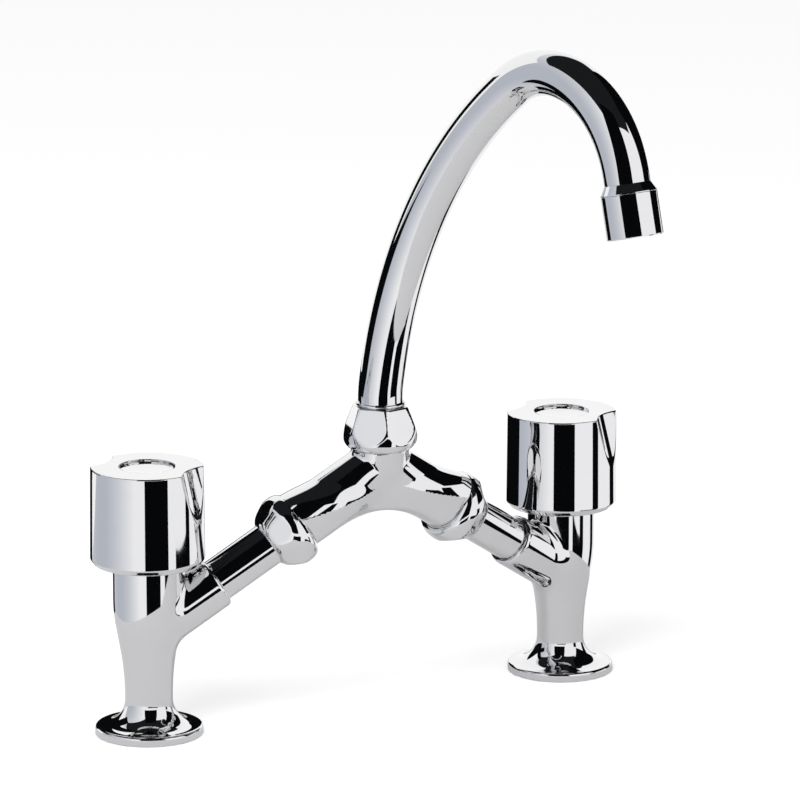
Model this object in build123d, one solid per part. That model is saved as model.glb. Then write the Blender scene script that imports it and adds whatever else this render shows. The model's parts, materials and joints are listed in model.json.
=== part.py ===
from build123d import *
import os
from math import atan2, cos, degrees, hypot, radians, sin, tan

# Bridge basin tap: two pillar valves joined by a slanted bridge that carries a tall swivelling spout.
# Millimetres, +Z up, -Y to the front. The deck is z = 0 and the origin lies midway between the inlets.

# Layout of the whole tap
inlet_spacing = 200.0
bridge_forward = 20.0
arm_axis_height = 44.8
spout_heading = -81.1

# Gaps between neighbouring pieces
thread_gap = 0.05
running_gap = 0.1
seal_gap = 0.02
face_gap = 0.05
clear_gap = 0.3

# Pillar casting
flange_radius = 22.7
flange_rim_height = 2.6
flange_edge_radius = 1.4
flange_dish_radius = 11.0
neck_radius = 10.0
neck_bottom = 15.0
stem_bottom = 15.5
stem_radius = 14.6
stem_lean = 10.0
stem_shoulder_radius = 70.0
pillar_top = 76.0
stem_top = pillar_top - 17.5
inlet_bore_radius = 7.6
inlet_bore_depth = 14.0
waterway_radius = 6.0
seat_top = 37.5
seat_lip_height = 1.2
seat_lip_width = 1.4
seat_bore_radius = 5.5
chamber_radius = 9.0
chamber_top = pillar_top - 19.0
gland_thread_radius = 10.2

# Seal recessed in the underside of the flange
deck_seal_inner = 17.0
deck_seal_outer = 21.0
deck_seal_depth = 2.0

# Cast branch and plain tail tube
branch_radius = 11.3
branch_length = 35.2
branch_edge = 1.0
branch_bore_start = 6.0
tail_radius = 9.25
tail_socket_start = branch_length - 14.2
tail_flange_radius = 10.8
tail_flange_width = 2.5
tail_ring_station = branch_length - 6.2
tail_ring_section = 1.56
tail_ring_groove_width = 2.2
union_washer_thickness = 1.5

# Tapered union nuts: the one under the spout has a wider small end than the two on the arms
nut_length = 18.3
nut_station = 59.95
nut_shoulder_radius = 15.5
nut_belly_radius = 15.85
nut_belly_station = 11.8
nut_lip_radius = 15.6
nut_lip_station = 14.8
nut_mouth_radius = 12.4
nut_web = 4.0
nut_thread_radius = 10.9
nut_edge = 0.4
arm_nut_small_radius = 10.5
arm_nut_flat_radius = 9.8
arm_nut_flat_run = 12.4
arm_nut_shoulder_station = 9.4
arm_nut_turns = [2.5, 14.0]
spout_nut_small_radius = 12.0
spout_nut_flat_radius = 10.6
spout_nut_flat_run = 15.2
spout_nut_shoulder_station = 7.8
spout_nut_turn = -12.0

# Slip ring round the spout, above its nut
slip_ring_radius = 10.5
slip_ring_width = 2.2
slip_ring_edge = 0.6

# Bridge body
bridge_arm_radius = 11.8
bridge_arm_end_gap = 6.0
bridge_bore_end_gap = 2.0
bridge_bore_radius = 6.5
bridge_boss_radius = 12.3
bridge_boss_top = 115.5
bridge_arm_meeting_drop = 7.47
bridge_boss_ball_height = bridge_boss_top - 15.5
bridge_chamber_radius = 8.2
bridge_chamber_bottom = bridge_boss_top - 20.0
spout_bore_radius = 9.0
spout_bore_bottom = bridge_boss_top - 3.5
spout_spigot_top = bridge_boss_top + 10.9
nut_top = bridge_boss_top + face_gap + nut_length

# Spout foot, tube and outlet
spout_tube_radius = 9.5
spout_tube_wall = 1.5
spout_curve_start = nut_top + 2.65
spout_bend_radii = [40.0, 220.3, 45.7]
spout_bend_angles = [9.8, 43.8, 112.4]
foot_bottom = spout_bore_bottom + 1.0
foot_flange_top = nut_top - nut_web - face_gap - running_gap
foot_bore_radius = 6.0
foot_ring_heights = [foot_bottom + 3.5, foot_bottom + 8.5]
foot_ring_section = 1.8
foot_ring_groove_width = 2.4
nozzle_spigot_length = 3.0
nozzle_flare_length = 4.0
nozzle_thread_length = 5.5
nozzle_thread_radius = 10.5
nozzle_bore_radius = 6.8
housing_radius = 11.6
housing_length = 17.5
housing_bore_radius = 10.25
housing_lip_radius = 9.2
housing_lip_thickness = 1.4
aerator_washer_thickness = 1.8
aerator_washer_bore = 7.4
insert_wall = 1.0
insert_plate = 1.5
insert_jet_radius = 0.9
insert_jet_ring_radii = [3.4, 6.8]
insert_jet_counts = [6, 12]

# Headwork: gland, spindle and rising jumper
gland_bottom = pillar_top - 20.0
gland_barrel_radius = 8.6
gland_flange_radius = 13.4
gland_flange_thickness = 2.0
gland_hexagon = 22.0
gland_top = pillar_top + 8.0
gland_seal_thickness = 0.5
gland_seal_inner = 10.3
guide_hexagon = 11.0
guide_top = pillar_top - 6.0
stem_bore_radius = 4.1
spindle_radius = 4.0
spindle_shoulder_radius = 5.3
spindle_shoulder_bottom = guide_top - 3.7
spindle_thread_radius = 3.4
spindle_bottom = pillar_top - 23.0
spindle_top = pillar_top + 22.0
spline_bottom = gland_top + 3.0
spline_root_radius = 3.65
spline_teeth = 20
spindle_ring_heights = [guide_top + 4.0, guide_top + 9.0]
spindle_ring_section = 1.3
spindle_ring_groove_floor = 2.75
spindle_ring_groove_width = 1.9
circlip_groove_floor = 3.2
circlip_radius = 5.4
circlip_thickness = 1.0
circlip_mouth = 3.6
jumper_hexagon = 10.8
jumper_top = spindle_shoulder_bottom - 5.8
jumper_bore_bottom = spindle_bottom - 5.5
jumper_plate_radius = 8.0
jumper_plate_thickness = 3.0
jumper_stud_radius = 1.5
jumper_nut_hexagon = 5.5
jumper_nut_thickness = 2.3
valve_washer_radius = 7.6
valve_washer_thickness = 4.0
jumper_stud_tip = 0.4

# Knob, its splined bush, screw and cap
handle_bottom = pillar_top - 2.4
handle_height = 41.6
handle_top = handle_bottom + handle_height
handle_bottom_radius = 24.0
handle_top_radius = 23.6
handle_chamfer_height = 2.4
handle_chamfer_width = 2.0
handle_edge = 0.4
handle_bore_radius = 15.4
handle_web_bottom = spindle_top + 1.0
handle_web_top = handle_web_bottom + 6.0
handle_boss_radius = 9.4
bush_bottom = spline_bottom + 0.5
bush_hexagon = 12.4
bush_crown = 1.0
handle_screw_radius = 1.9
handle_screw_hole = 2.3
handle_screw_head_radius = 3.8
handle_screw_head_height = 2.6
handle_screw_bottom = handle_web_bottom - 11.0
handle_screw_key = 3.0
handle_well_radius = 4.6
recess_radius = 11.8
recess_depth = 1.2
cap_thickness = 2.0
cap_radius = 11.7
cap_dish = 0.8
cap_rim = 0.4
cap_stem_wall = 0.8
cap_stem_radius = 4.5
cap_stem_length = 2.6
scoop_radius = 21.0
scoop_depth = 5.1
scoop_length = 20.0
scoop_headings = [-54.0, 126.0]

# Values that follow from the ones above
half_spacing = inlet_spacing / 2
arm_plan_length = hypot(half_spacing, bridge_forward)
arm_rise = (bridge_boss_top - bridge_arm_meeting_drop - arm_axis_height) / arm_plan_length
arm_axis_length = arm_plan_length * hypot(1.0, arm_rise)
tail_flange_station = nut_station + nut_web + face_gap
tail_end = tail_flange_station + tail_flange_width
bridge_arm_start = tail_end + union_washer_thickness
gland_flange_bottom = pillar_top + gland_seal_thickness
jumper_plate_bottom = seat_top + face_gap + valve_washer_thickness
jumper_plate_top = jumper_plate_bottom + jumper_plate_thickness


def turned(outline):
    """Solid of revolution about Z from edges or points drawn as (radius, height)."""
    if isinstance(outline[0], tuple):
        outline = [Polyline(outline, close=True)]
    return revolve(Plane.XZ * make_face(outline), Axis.Z)


def ring(inner, outer, bottom, top):
    """Plain round ring or tube."""
    return turned([(inner, bottom), (outer, bottom), (outer, top), (inner, top)])


def rod(radius, bottom, top):
    """Plain round bar along Z."""
    return Pos(0, 0, (bottom + top) / 2) * Cylinder(radius, top - bottom)


def hexagon_bar(across_flats, bottom, top):
    """Six-sided bar along Z with flats facing +Y and -Y."""
    outline = RegularPolygon(across_flats / 2, 6, major_radius=False)
    return extrude(Pos(0, 0, bottom) * outline, top - bottom)


def o_ring(floor_radius, section, height):
    """Round-section ring seated just clear of a groove floor."""
    centre_radius = floor_radius + seal_gap + section / 2
    return Pos(0, 0, height) * Torus(centre_radius, section / 2)


def groove(floor_radius, outer_radius, width, height):
    """Cutter for a square groove centred at a height."""
    return ring(floor_radius, outer_radius, height - width / 2, height + width / 2)


def arm_plane(side):
    """Frame at a pillar with its Z axis along the slanted arm towards the spout."""
    direction = Vector(-side * half_spacing, -bridge_forward, arm_rise * arm_plan_length)
    across = Vector(bridge_forward, -side * half_spacing, 0)
    return Plane(origin=(side * half_spacing, 0, arm_axis_height), x_dir=across, z_dir=direction)


def stem_outline():
    """Outside of the pillar from the flange rim to its top, ending on the axis."""
    dish_start = neck_radius + flange_dish_radius
    dish_bottom = neck_bottom - flange_dish_radius
    rim = Polyline((0, 0), (flange_radius, 0), (flange_radius, flange_rim_height))
    edge_end = (flange_radius - flange_edge_radius, dish_bottom)
    edge = RadiusArc((flange_radius, flange_rim_height), edge_end, -flange_edge_radius)
    top = Line(edge @ 1, (dish_start, dish_bottom))
    dish = RadiusArc((dish_start, dish_bottom), (neck_radius, neck_bottom), flange_dish_radius)
    neck = Line((neck_radius, neck_bottom), (neck_radius, stem_bottom))
    rise = stem_top - stem_bottom
    half_tangent = tan(radians(stem_lean / 2))
    straight = (stem_radius - neck_radius) / half_tangent - rise
    both_radii = (rise - straight * cos(radians(stem_lean))) / sin(radians(stem_lean))
    waist = JernArc(neck @ 1, (0, 1), both_radii - stem_shoulder_radius, -stem_lean)
    slope = Line(waist @ 1, waist @ 1 + (waist % 1) * straight)
    shoulder = JernArc(slope @ 1, slope % 1, stem_shoulder_radius, stem_lean)
    head = Polyline(shoulder @ 1, (stem_radius, pillar_top), (0, pillar_top), (0, 0))
    return [rim, edge, top, dish, neck, waist, slope, shoulder, head]


def pillar(side):
    """Cast pillar with flange, branch, valve seat and thread for the gland."""
    outside = turned(stem_outline())
    plane = arm_plane(side)
    branch = Pos(0, 0, branch_length / 2) * Cylinder(branch_radius, branch_length)
    branch = fillet(branch.edges().sort_by(Axis.Z)[-1], branch_edge)
    lip_bottom = seat_top - seat_lip_height
    lip_radius = seat_bore_radius + seat_lip_width
    inside = turned(
        [
            (0, 0),
            (inlet_bore_radius, 0),
            (inlet_bore_radius, inlet_bore_depth),
            (waterway_radius, inlet_bore_depth + inlet_bore_radius - waterway_radius),
            (waterway_radius, lip_bottom - seat_lip_height),
            (seat_bore_radius, lip_bottom - seat_lip_height),
            (seat_bore_radius, seat_top),
            (lip_radius, seat_top),
            (lip_radius, lip_bottom),
            (chamber_radius, lip_bottom),
            (chamber_radius, chamber_top),
            (gland_thread_radius + thread_gap, chamber_top),
            (gland_thread_radius + thread_gap, pillar_top),
            (0, pillar_top),
        ]
    )
    seal_groove = ring(deck_seal_inner, deck_seal_outer, 0, deck_seal_depth)
    branch_bore = rod(waterway_radius, branch_bore_start, branch_length)
    tail_socket = rod(tail_radius + running_gap, tail_socket_start, branch_length)
    body = Pos(side * half_spacing, 0, 0) * outside + plane * branch
    body -= Pos(side * half_spacing, 0, 0) * (inside + seal_groove)
    body -= plane * (branch_bore + tail_socket)
    return body


def deck_seal():
    """Rubber ring flush with the underside of the flange."""
    return ring(deck_seal_inner + face_gap, deck_seal_outer - face_gap, 0, deck_seal_depth - face_gap)


def tail():
    """Plain tube from the branch to the nut, with the flange the nut pulls on."""
    start = tail_socket_start + clear_gap
    body = rod(tail_radius, start, tail_end) + rod(tail_flange_radius, tail_flange_station, tail_end)
    body -= rod(waterway_radius, start, tail_end)
    floor_radius = tail_radius - tail_ring_section + running_gap - 2 * seal_gap
    return body - groove(floor_radius, branch_radius, tail_ring_groove_width, tail_ring_station)


def tail_seal():
    """O-ring between the tail and the socket in the branch."""
    floor_radius = tail_radius - tail_ring_section + running_gap - 2 * seal_gap
    return o_ring(floor_radius, tail_ring_section, tail_ring_station)


def union_washer():
    """Flat seal between the tail flange and the end of the bridge arm."""
    return ring(bridge_bore_radius, tail_flange_radius, tail_end, bridge_arm_start)


def nut(bore_radius, small_radius, shoulder_station):
    """Turned blank of a nut with its small end at z = 0, its web there and its thread beyond."""
    small_end = Polyline(
        (bore_radius, 0),
        (small_radius - nut_edge, 0),
        (small_radius, nut_edge),
        (nut_shoulder_radius, shoulder_station),
    )
    belly = ThreePointArc(
        (nut_shoulder_radius, shoulder_station),
        (nut_belly_radius, nut_belly_station),
        (nut_lip_radius, nut_lip_station),
    )
    lip_curve = hypot(nut_lip_radius - nut_mouth_radius, nut_length - nut_lip_station)
    lip = RadiusArc((nut_lip_radius, nut_lip_station), (nut_mouth_radius, nut_length), -lip_curve)
    cavity_radius = nut_thread_radius + thread_gap
    inside = Polyline(
        (nut_mouth_radius, nut_length),
        (cavity_radius, nut_length),
        (cavity_radius, nut_web),
        (bore_radius, nut_web),
        (bore_radius, 0),
    )
    return turned([small_end, belly, lip, inside])


def nut_flats(flat_radius, flat_run, turn):
    """Widening six-sided bar whose flats run out on the belly of a nut."""
    outline = RegularPolygon(flat_radius, 6, major_radius=False)
    lean = degrees(atan2(nut_belly_radius - flat_radius, flat_run))
    return Rot(0, 0, turn) * extrude(outline, nut_length, taper=-lean)


def slip_ring(bore_radius):
    """Thin ring round the tube with a rounded outside, from z = 0."""
    middle = slip_ring_width / 2
    outside = ThreePointArc((slip_ring_radius - slip_ring_edge, 0), (slip_ring_radius, middle),
                            (slip_ring_radius - slip_ring_edge, slip_ring_width))
    inside = Polyline(outside @ 1, (bore_radius, slip_ring_width), (bore_radius, 0), outside @ 0)
    return turned([outside, inside])


def bridge_arm():
    """One arm along Z, threaded for the nut at its outer end."""
    thread_end = nut_station + nut_length + face_gap
    end = arm_axis_length - bridge_arm_end_gap
    return rod(nut_thread_radius, bridge_arm_start, thread_end) + rod(bridge_arm_radius, thread_end, end)


def bridge_body():
    """Two slanted arms and the upright boss that holds the spout."""
    centre = Pos(0, -bridge_forward, 0)
    body = centre * rod(bridge_boss_radius, bridge_boss_ball_height, bridge_boss_top)
    body += centre * Pos(0, 0, bridge_boss_ball_height) * Sphere(bridge_boss_radius)
    body += centre * rod(nut_thread_radius, bridge_boss_top, spout_spigot_top)
    for side in (-1, 1):
        body += arm_plane(side) * bridge_arm()
    for side in (-1, 1):
        body -= arm_plane(side) * rod(bridge_bore_radius, bridge_arm_start, arm_axis_length - bridge_bore_end_gap)
    body -= centre * rod(bridge_chamber_radius, bridge_chamber_bottom, spout_bore_bottom)
    body -= centre * rod(spout_bore_radius, spout_bore_bottom, spout_spigot_top)
    return body


def spout_foot():
    """Machined foot: ringed plug in the boss, flange under the nut and spigot in the tube."""
    plug_radius = spout_bore_radius - running_gap
    flange_bottom = spout_spigot_top + running_gap
    spigot_radius = spout_tube_radius - spout_tube_wall - face_gap
    body = rod(plug_radius, foot_bottom, flange_bottom)
    body += rod(tail_flange_radius, flange_bottom, foot_flange_top)
    body += rod(spigot_radius, foot_flange_top, spout_curve_start)
    body -= rod(foot_bore_radius, foot_bottom, spout_curve_start)
    for height in foot_ring_heights:
        body -= groove(foot_ring_floor(), spout_bore_radius, foot_ring_groove_width, height)
    return body


def foot_ring_floor():
    """Groove floor that leaves each ring a running gap in the boss."""
    return spout_bore_radius - foot_ring_section - 2 * seal_gap


def spout_rings():
    """The two O-rings of the spout foot."""
    return [o_ring(foot_ring_floor(), foot_ring_section, height) for height in foot_ring_heights]


def spout_path():
    """Centre line of the tube in the XZ plane, leaning towards +X."""
    edges = [Line((0, foot_flange_top), (0, spout_curve_start))]
    for radius, angle in zip(spout_bend_radii, spout_bend_angles):
        edges.append(JernArc(edges[-1] @ 1, edges[-1] % 1, radius, -angle))
    edges.append(Line(edges[-1] @ 1, edges[-1] @ 1 + (edges[-1] % 1) * nozzle_spigot_length))
    return Plane.XZ * Wire(edges)


def spout_tube():
    """Swan-neck tube with a uniform wall."""
    path = spout_path()
    section = Circle(spout_tube_radius) - Circle(spout_tube_radius - spout_tube_wall)
    return sweep(Pos(0, 0, foot_flange_top) * section, path=path)


def outlet_plane():
    """Frame at the end of the tube with Z along the flow."""
    path = spout_path()
    return Plane(origin=path @ 1, x_dir=(0, 1, 0), z_dir=path % 1)


def spout_nozzle():
    """Flared ring brazed in the tube, with the thread for the aerator housing."""
    spigot_radius = spout_tube_radius - spout_tube_wall - face_gap
    flare_end = nozzle_flare_length
    tip = flare_end + nozzle_thread_length
    return turned(
        [
            (nozzle_bore_radius, -nozzle_spigot_length),
            (spigot_radius, -nozzle_spigot_length),
            (spigot_radius, 0),
            (spout_tube_radius, 0),
            (housing_radius, flare_end - nut_edge),
            (housing_radius, flare_end),
            (nozzle_thread_radius, flare_end),
            (nozzle_thread_radius, tip),
            (nozzle_bore_radius, tip),
        ]
    )


def aerator_housing():
    """Sleeve that screws on the nozzle and holds the mesh cartridge."""
    start = nozzle_flare_length + face_gap
    end = start + housing_length
    thread_end = nozzle_flare_length + nozzle_thread_length
    return turned(
        [
            (nozzle_thread_radius + thread_gap, start),
            (housing_radius, start),
            (housing_radius, end - nut_edge),
            (housing_radius - nut_edge, end),
            (housing_lip_radius, end),
            (housing_lip_radius, end - housing_lip_thickness),
            (housing_bore_radius, end - housing_lip_thickness),
            (housing_bore_radius, thread_end),
            (nozzle_thread_radius + thread_gap, thread_end),
        ]
    )


def aerator_washer():
    """Flat seal between the nozzle and the cartridge."""
    start = nozzle_flare_length + nozzle_thread_length
    end = start + aerator_washer_thickness
    return ring(aerator_washer_bore, housing_bore_radius - running_gap, start, end)


def aerator_insert():
    """Cartridge: a cup with a plate of jets at the top and a second plate at the mouth."""
    top = nozzle_flare_length + nozzle_thread_length + aerator_washer_thickness
    bottom = nozzle_flare_length + face_gap + housing_length - housing_lip_thickness
    outer = housing_bore_radius - running_gap
    body = ring(outer - insert_wall, outer, top, bottom)
    jets = Part()
    for ring_radius, count in zip(insert_jet_ring_radii, insert_jet_counts):
        for spot in PolarLocations(ring_radius, count):
            jets += spot * rod(insert_jet_radius, top, bottom)
    plates = rod(outer, top, top + insert_plate) + rod(outer, bottom - insert_plate, bottom)
    return body + (plates - jets)


def headwork_body():
    """Gland that screws into the pillar and guides the jumper and the spindle."""
    flange_top = gland_flange_bottom + gland_flange_thickness
    body = rod(gland_barrel_radius, gland_bottom, chamber_top + clear_gap)
    body += rod(gland_thread_radius, chamber_top + clear_gap, gland_flange_bottom)
    body += rod(gland_flange_radius, gland_flange_bottom, flange_top)
    body += hexagon_bar(gland_hexagon, flange_top, gland_top)
    body -= hexagon_bar(guide_hexagon, gland_bottom, guide_top)
    return body - rod(stem_bore_radius, guide_top, gland_top)


def headwork_seal():
    """Flat seal under the flange of the gland."""
    return ring(gland_seal_inner, gland_flange_radius, pillar_top, gland_flange_bottom)


def spline_bar(extra, bottom, top):
    """Toothed bar; extra widens it for the matching socket."""
    root = spline_root_radius + extra
    tip = spindle_radius + extra
    pitch = 360.0 / spline_teeth
    points = []
    for tooth in range(spline_teeth):
        for radius, share in ((root, -0.35), (tip, -0.18), (tip, 0.18), (root, 0.35)):
            angle = radians((tooth + share) * pitch)
            points.append((radius * cos(angle), radius * sin(angle)))
    outline = make_face(Polyline(points, close=True))
    return extrude(Pos(0, 0, bottom) * outline, top - bottom)


def spindle():
    """Stem with drive thread, thrust shoulder, ring grooves, circlip groove and splined end."""
    body = rod(spindle_thread_radius, spindle_bottom, spindle_shoulder_bottom)
    body += rod(spindle_shoulder_radius, spindle_shoulder_bottom, guide_top - face_gap)
    body += rod(spindle_radius, guide_top - face_gap, spline_bottom)
    body += spline_bar(0, spline_bottom, spindle_top)
    body -= rod(handle_screw_radius + thread_gap, handle_screw_bottom - clear_gap, spindle_top)
    for height in spindle_ring_heights:
        body -= groove(spindle_ring_groove_floor, spindle_shoulder_radius, spindle_ring_groove_width, height)
    circlip_width = circlip_thickness + 2 * face_gap
    return body - groove(circlip_groove_floor, spindle_shoulder_radius, circlip_width, circlip_height())


def circlip_height():
    """Middle of the circlip, just above the gland."""
    return gland_top + running_gap + circlip_thickness / 2


def spindle_rings():
    """The two O-rings of the spindle."""
    floor = spindle_ring_groove_floor
    return [o_ring(floor, spindle_ring_section, height) for height in spindle_ring_heights]


def circlip():
    """Open spring clip in the groove of the spindle."""
    middle = circlip_height()
    half = circlip_thickness / 2
    body = ring(circlip_groove_floor + seal_gap, circlip_radius, middle - half, middle + half)
    mouth = Box(2 * circlip_radius, circlip_mouth, 2 * circlip_thickness)
    return body - Pos(circlip_radius, 0, middle) * mouth


def jumper():
    """Six-sided sleeve that climbs the spindle thread, with the plate that carries the washer."""
    body = hexagon_bar(jumper_hexagon, jumper_plate_top, jumper_top)
    body += rod(jumper_plate_radius, jumper_plate_bottom, jumper_plate_top)
    body -= rod(spindle_thread_radius + running_gap, jumper_bore_bottom, jumper_top)
    stud_bottom = jumper_plate_bottom - valve_washer_thickness - jumper_nut_thickness - jumper_stud_tip
    return body + rod(jumper_stud_radius, stud_bottom, jumper_plate_bottom)


def valve_washer():
    """Rubber disc that closes on the seat."""
    return ring(jumper_stud_radius + face_gap, valve_washer_radius, seat_top + face_gap, jumper_plate_bottom)


def jumper_nut():
    """Small nut that holds the washer on the jumper."""
    top = seat_top + face_gap
    body = hexagon_bar(jumper_nut_hexagon, top - jumper_nut_thickness, top)
    return body - rod(jumper_stud_radius + face_gap, top - jumper_nut_thickness, top)


def scoop_cutter(heading):
    """Round cutter, tilted so that the scoop runs out down the side of the knob."""
    tilt = degrees(atan2(scoop_depth, scoop_length))
    depth_radius = handle_top_radius - scoop_depth
    axis_distance = depth_radius + scoop_radius / cos(radians(tilt))
    cutter = Cylinder(scoop_radius, 4 * scoop_length)
    return Rot(0, 0, heading) * Pos(axis_distance, 0, handle_top) * Rot(0, -tilt, 0) * cutter


def handle():
    """Knob with a skirt over the pillar, a splined boss inside and a recess on top."""
    body = turned(
        [
            (0, handle_bottom),
            (handle_bottom_radius - handle_chamfer_width, handle_bottom),
            (handle_bottom_radius, handle_bottom + handle_chamfer_height),
            (handle_top_radius, handle_top - handle_edge),
            (handle_top_radius - handle_edge, handle_top),
            (0, handle_top),
        ]
    )
    body -= ring(handle_boss_radius, handle_bore_radius, bush_bottom, handle_web_bottom)
    body -= rod(handle_bore_radius, handle_bottom, bush_bottom)
    body -= hexagon_bar(bush_hexagon + 2 * face_gap, bush_bottom, handle_web_bottom)
    body -= rod(handle_screw_hole, handle_web_bottom, handle_web_top)
    body -= rod(handle_well_radius, handle_web_top, handle_top)
    body -= rod(recess_radius, handle_top - recess_depth - cap_thickness, handle_top)
    for heading in scoop_headings:
        body -= scoop_cutter(heading)
    return body


def handle_bush():
    """Splined insert between the spindle and the knob."""
    body = hexagon_bar(bush_hexagon, bush_bottom, handle_web_bottom)
    body -= spline_bar(face_gap, bush_bottom, handle_web_bottom - bush_crown)
    return body - rod(handle_screw_hole, handle_web_bottom - bush_crown, handle_web_bottom)


def handle_screw():
    """Socket-head screw that clamps the knob on the spindle."""
    head_top = handle_web_top + handle_screw_head_height
    body = rod(handle_screw_radius, handle_screw_bottom, handle_web_top)
    body += rod(handle_screw_head_radius, handle_web_top, head_top)
    return body - hexagon_bar(handle_screw_key, head_top - handle_screw_head_height / 2, head_top)


def index_cap():
    """Dished disc in the recess, with a hollow stem pushed into the screw well."""
    top = handle_top - recess_depth
    bottom = top - cap_thickness
    dish_edge = cap_radius - cap_rim
    ball_radius = (dish_edge**2 + cap_dish**2) / (2 * cap_dish)
    body = rod(cap_radius, bottom, top)
    body += ring(cap_stem_radius - cap_stem_wall, cap_stem_radius, bottom - cap_stem_length, bottom)
    return body - Pos(0, 0, top - cap_dish + ball_radius) * Sphere(ball_radius)


def side_pieces(side, name):
    """Every piece of one valve, by node name."""
    upright = Pos(side * half_spacing, 0, 0)
    plane = arm_plane(side)
    nut_turn = arm_nut_turns[0] if side < 0 else arm_nut_turns[1]
    union_nut = nut(tail_radius + running_gap, arm_nut_small_radius, arm_nut_shoulder_station)
    union_nut &= nut_flats(arm_nut_flat_radius, arm_nut_flat_run, nut_turn)
    pieces = {"pillar": pillar(side)}
    standing = {
        "deck_seal": deck_seal(),
        "headwork_body": headwork_body(),
        "headwork_seal": headwork_seal(),
        "spindle": spindle(),
        "spindle_rings": spindle_rings(),
        "circlip": circlip(),
        "jumper": jumper(),
        "valve_washer": valve_washer(),
        "jumper_nut": jumper_nut(),
        "handle": handle(),
        "handle_bush": handle_bush(),
        "handle_screw": handle_screw(),
        "index_cap": index_cap(),
    }
    slanted = {
        "tail": tail(),
        "tail_seal": tail_seal(),
        "union_washer": union_washer(),
        "union_nut": Pos(0, 0, nut_station) * union_nut,
    }
    for piece, shape in standing.items():
        pieces[piece] = placed(upright, shape)
    for piece, shape in slanted.items():
        pieces[piece] = placed(plane.location, shape)
    return {f"{piece}_{name}": shape for piece, shape in pieces.items()}


def placed(location, shape):
    """A piece, or a group of identical ones, moved to its place."""
    if isinstance(shape, list):
        return Compound([location * each for each in shape])
    return location * shape


def spout_pieces():
    """Every piece of the spout and the nut that holds it, by node name."""
    centre = Pos(0, -bridge_forward, 0)
    swung = centre * Rot(0, 0, spout_heading)
    outlet = swung * outlet_plane().location
    upside_down = Pos(0, 0, nut_top) * Rot(180, 0, 0)
    above_nut = Pos(0, 0, nut_top + clear_gap)
    spout_nut = nut(spout_tube_radius + running_gap, spout_nut_small_radius, spout_nut_shoulder_station)
    spout_nut &= nut_flats(spout_nut_flat_radius, spout_nut_flat_run, spout_nut_turn)
    return {
        "spout_nut": placed(centre * upside_down, spout_nut),
        "spout_slip_ring": placed(centre * above_nut, slip_ring(spout_tube_radius + face_gap)),
        "spout_foot": placed(centre, spout_foot()),
        "spout_rings": placed(centre, spout_rings()),
        "spout_tube": placed(swung, spout_tube()),
        "spout_nozzle": placed(outlet, spout_nozzle()),
        "aerator_housing": placed(outlet, aerator_housing()),
        "aerator_washer": placed(outlet, aerator_washer()),
        "aerator_insert": placed(outlet, aerator_insert()),
    }


def build():
    """All pieces of the tap, by node name."""
    pieces = {"bridge_body": bridge_body()}
    pieces.update(spout_pieces())
    pieces.update(side_pieces(-1, "left"))
    pieces.update(side_pieces(1, "right"))
    return pieces


os.makedirs("parts", exist_ok=True)
for node, shape in build().items():
    export_step(shape, f"parts/{node}.step")
    print(node, round(shape.volume, 1))
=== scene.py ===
"""Bridge basin tap: clean chrome skins, finishes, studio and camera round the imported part.

Sizes are in millimetres, in the part's own frame, and become metres when a mesh is written.
"""

import json
import logging
import math
from dataclasses import dataclass, field
from enum import Enum
from typing import Callable, Sequence

import bpy
import numpy as np
from mathutils import Matrix, Vector

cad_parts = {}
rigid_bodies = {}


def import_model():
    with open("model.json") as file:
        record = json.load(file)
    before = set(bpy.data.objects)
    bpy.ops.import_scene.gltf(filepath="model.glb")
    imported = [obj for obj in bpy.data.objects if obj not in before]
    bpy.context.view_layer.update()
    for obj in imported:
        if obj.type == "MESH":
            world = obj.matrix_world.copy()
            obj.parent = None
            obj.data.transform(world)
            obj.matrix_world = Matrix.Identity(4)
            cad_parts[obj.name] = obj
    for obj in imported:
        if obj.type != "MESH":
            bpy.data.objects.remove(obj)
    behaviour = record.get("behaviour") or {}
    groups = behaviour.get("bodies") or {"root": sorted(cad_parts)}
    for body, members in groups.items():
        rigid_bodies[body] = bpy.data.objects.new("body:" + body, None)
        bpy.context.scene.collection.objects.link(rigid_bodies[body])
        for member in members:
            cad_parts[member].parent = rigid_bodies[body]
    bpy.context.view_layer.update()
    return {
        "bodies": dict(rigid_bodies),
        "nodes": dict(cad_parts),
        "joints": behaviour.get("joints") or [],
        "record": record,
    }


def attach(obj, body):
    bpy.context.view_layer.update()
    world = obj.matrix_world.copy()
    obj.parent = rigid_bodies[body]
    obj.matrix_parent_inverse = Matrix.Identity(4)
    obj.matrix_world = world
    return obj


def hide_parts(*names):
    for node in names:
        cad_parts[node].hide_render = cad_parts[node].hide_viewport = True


LOG = logging.getLogger("bridge_tap")
MILLIMETRE = 0.001
# A corner that turns less than this is shaded smooth and isn't rounded.
SMOOTH_TURN = math.radians(30.0)
# A point nearer the axis than this is a pole.
POLE_RADIUS = 1e-6
# A rounding takes at most this share of the shorter edge beside its corner.
ROUNDING_SHARE = 0.33
# Steps round a turned piece and round the tube.
FINE_STEPS = 128
# Directions that a hexagon's flats face, two of them along Y.
FLAT_HEADINGS = np.radians((30.0, 90.0, 150.0, 210.0, 270.0, 330.0))
# Steps that bring a sampled surface onto its field, and the least squared slope that they trust.
SETTLING_STEPS = 4
LEAST_SLOPE = 0.25
# Millimetres that a cutter reaches past the face it opens, and that two joined bars overlap.
CUT_PAST = 9.0
OVERLAP = 1.0
# Rounded edge between an outside and the rooms in it, in millimetres.
ROOM_EDGE = 0.3
# Divisors and widths are kept above these, so that nothing is divided by nought.
LEAST_LENGTH = 0.01
TINY = 1e-9
# The finishes' noise counts between these levels, and none is smoother than SMOOTHEST.
GRAIN_SPAN = (0.3, 0.7)
GRAIN_DETAIL = 4.0
SMOOTHEST = 0.01
Points = np.ndarray
Spot = tuple[float, float, float]
WHITE = (1.0, 1.0, 1.0, 1.0)
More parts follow.
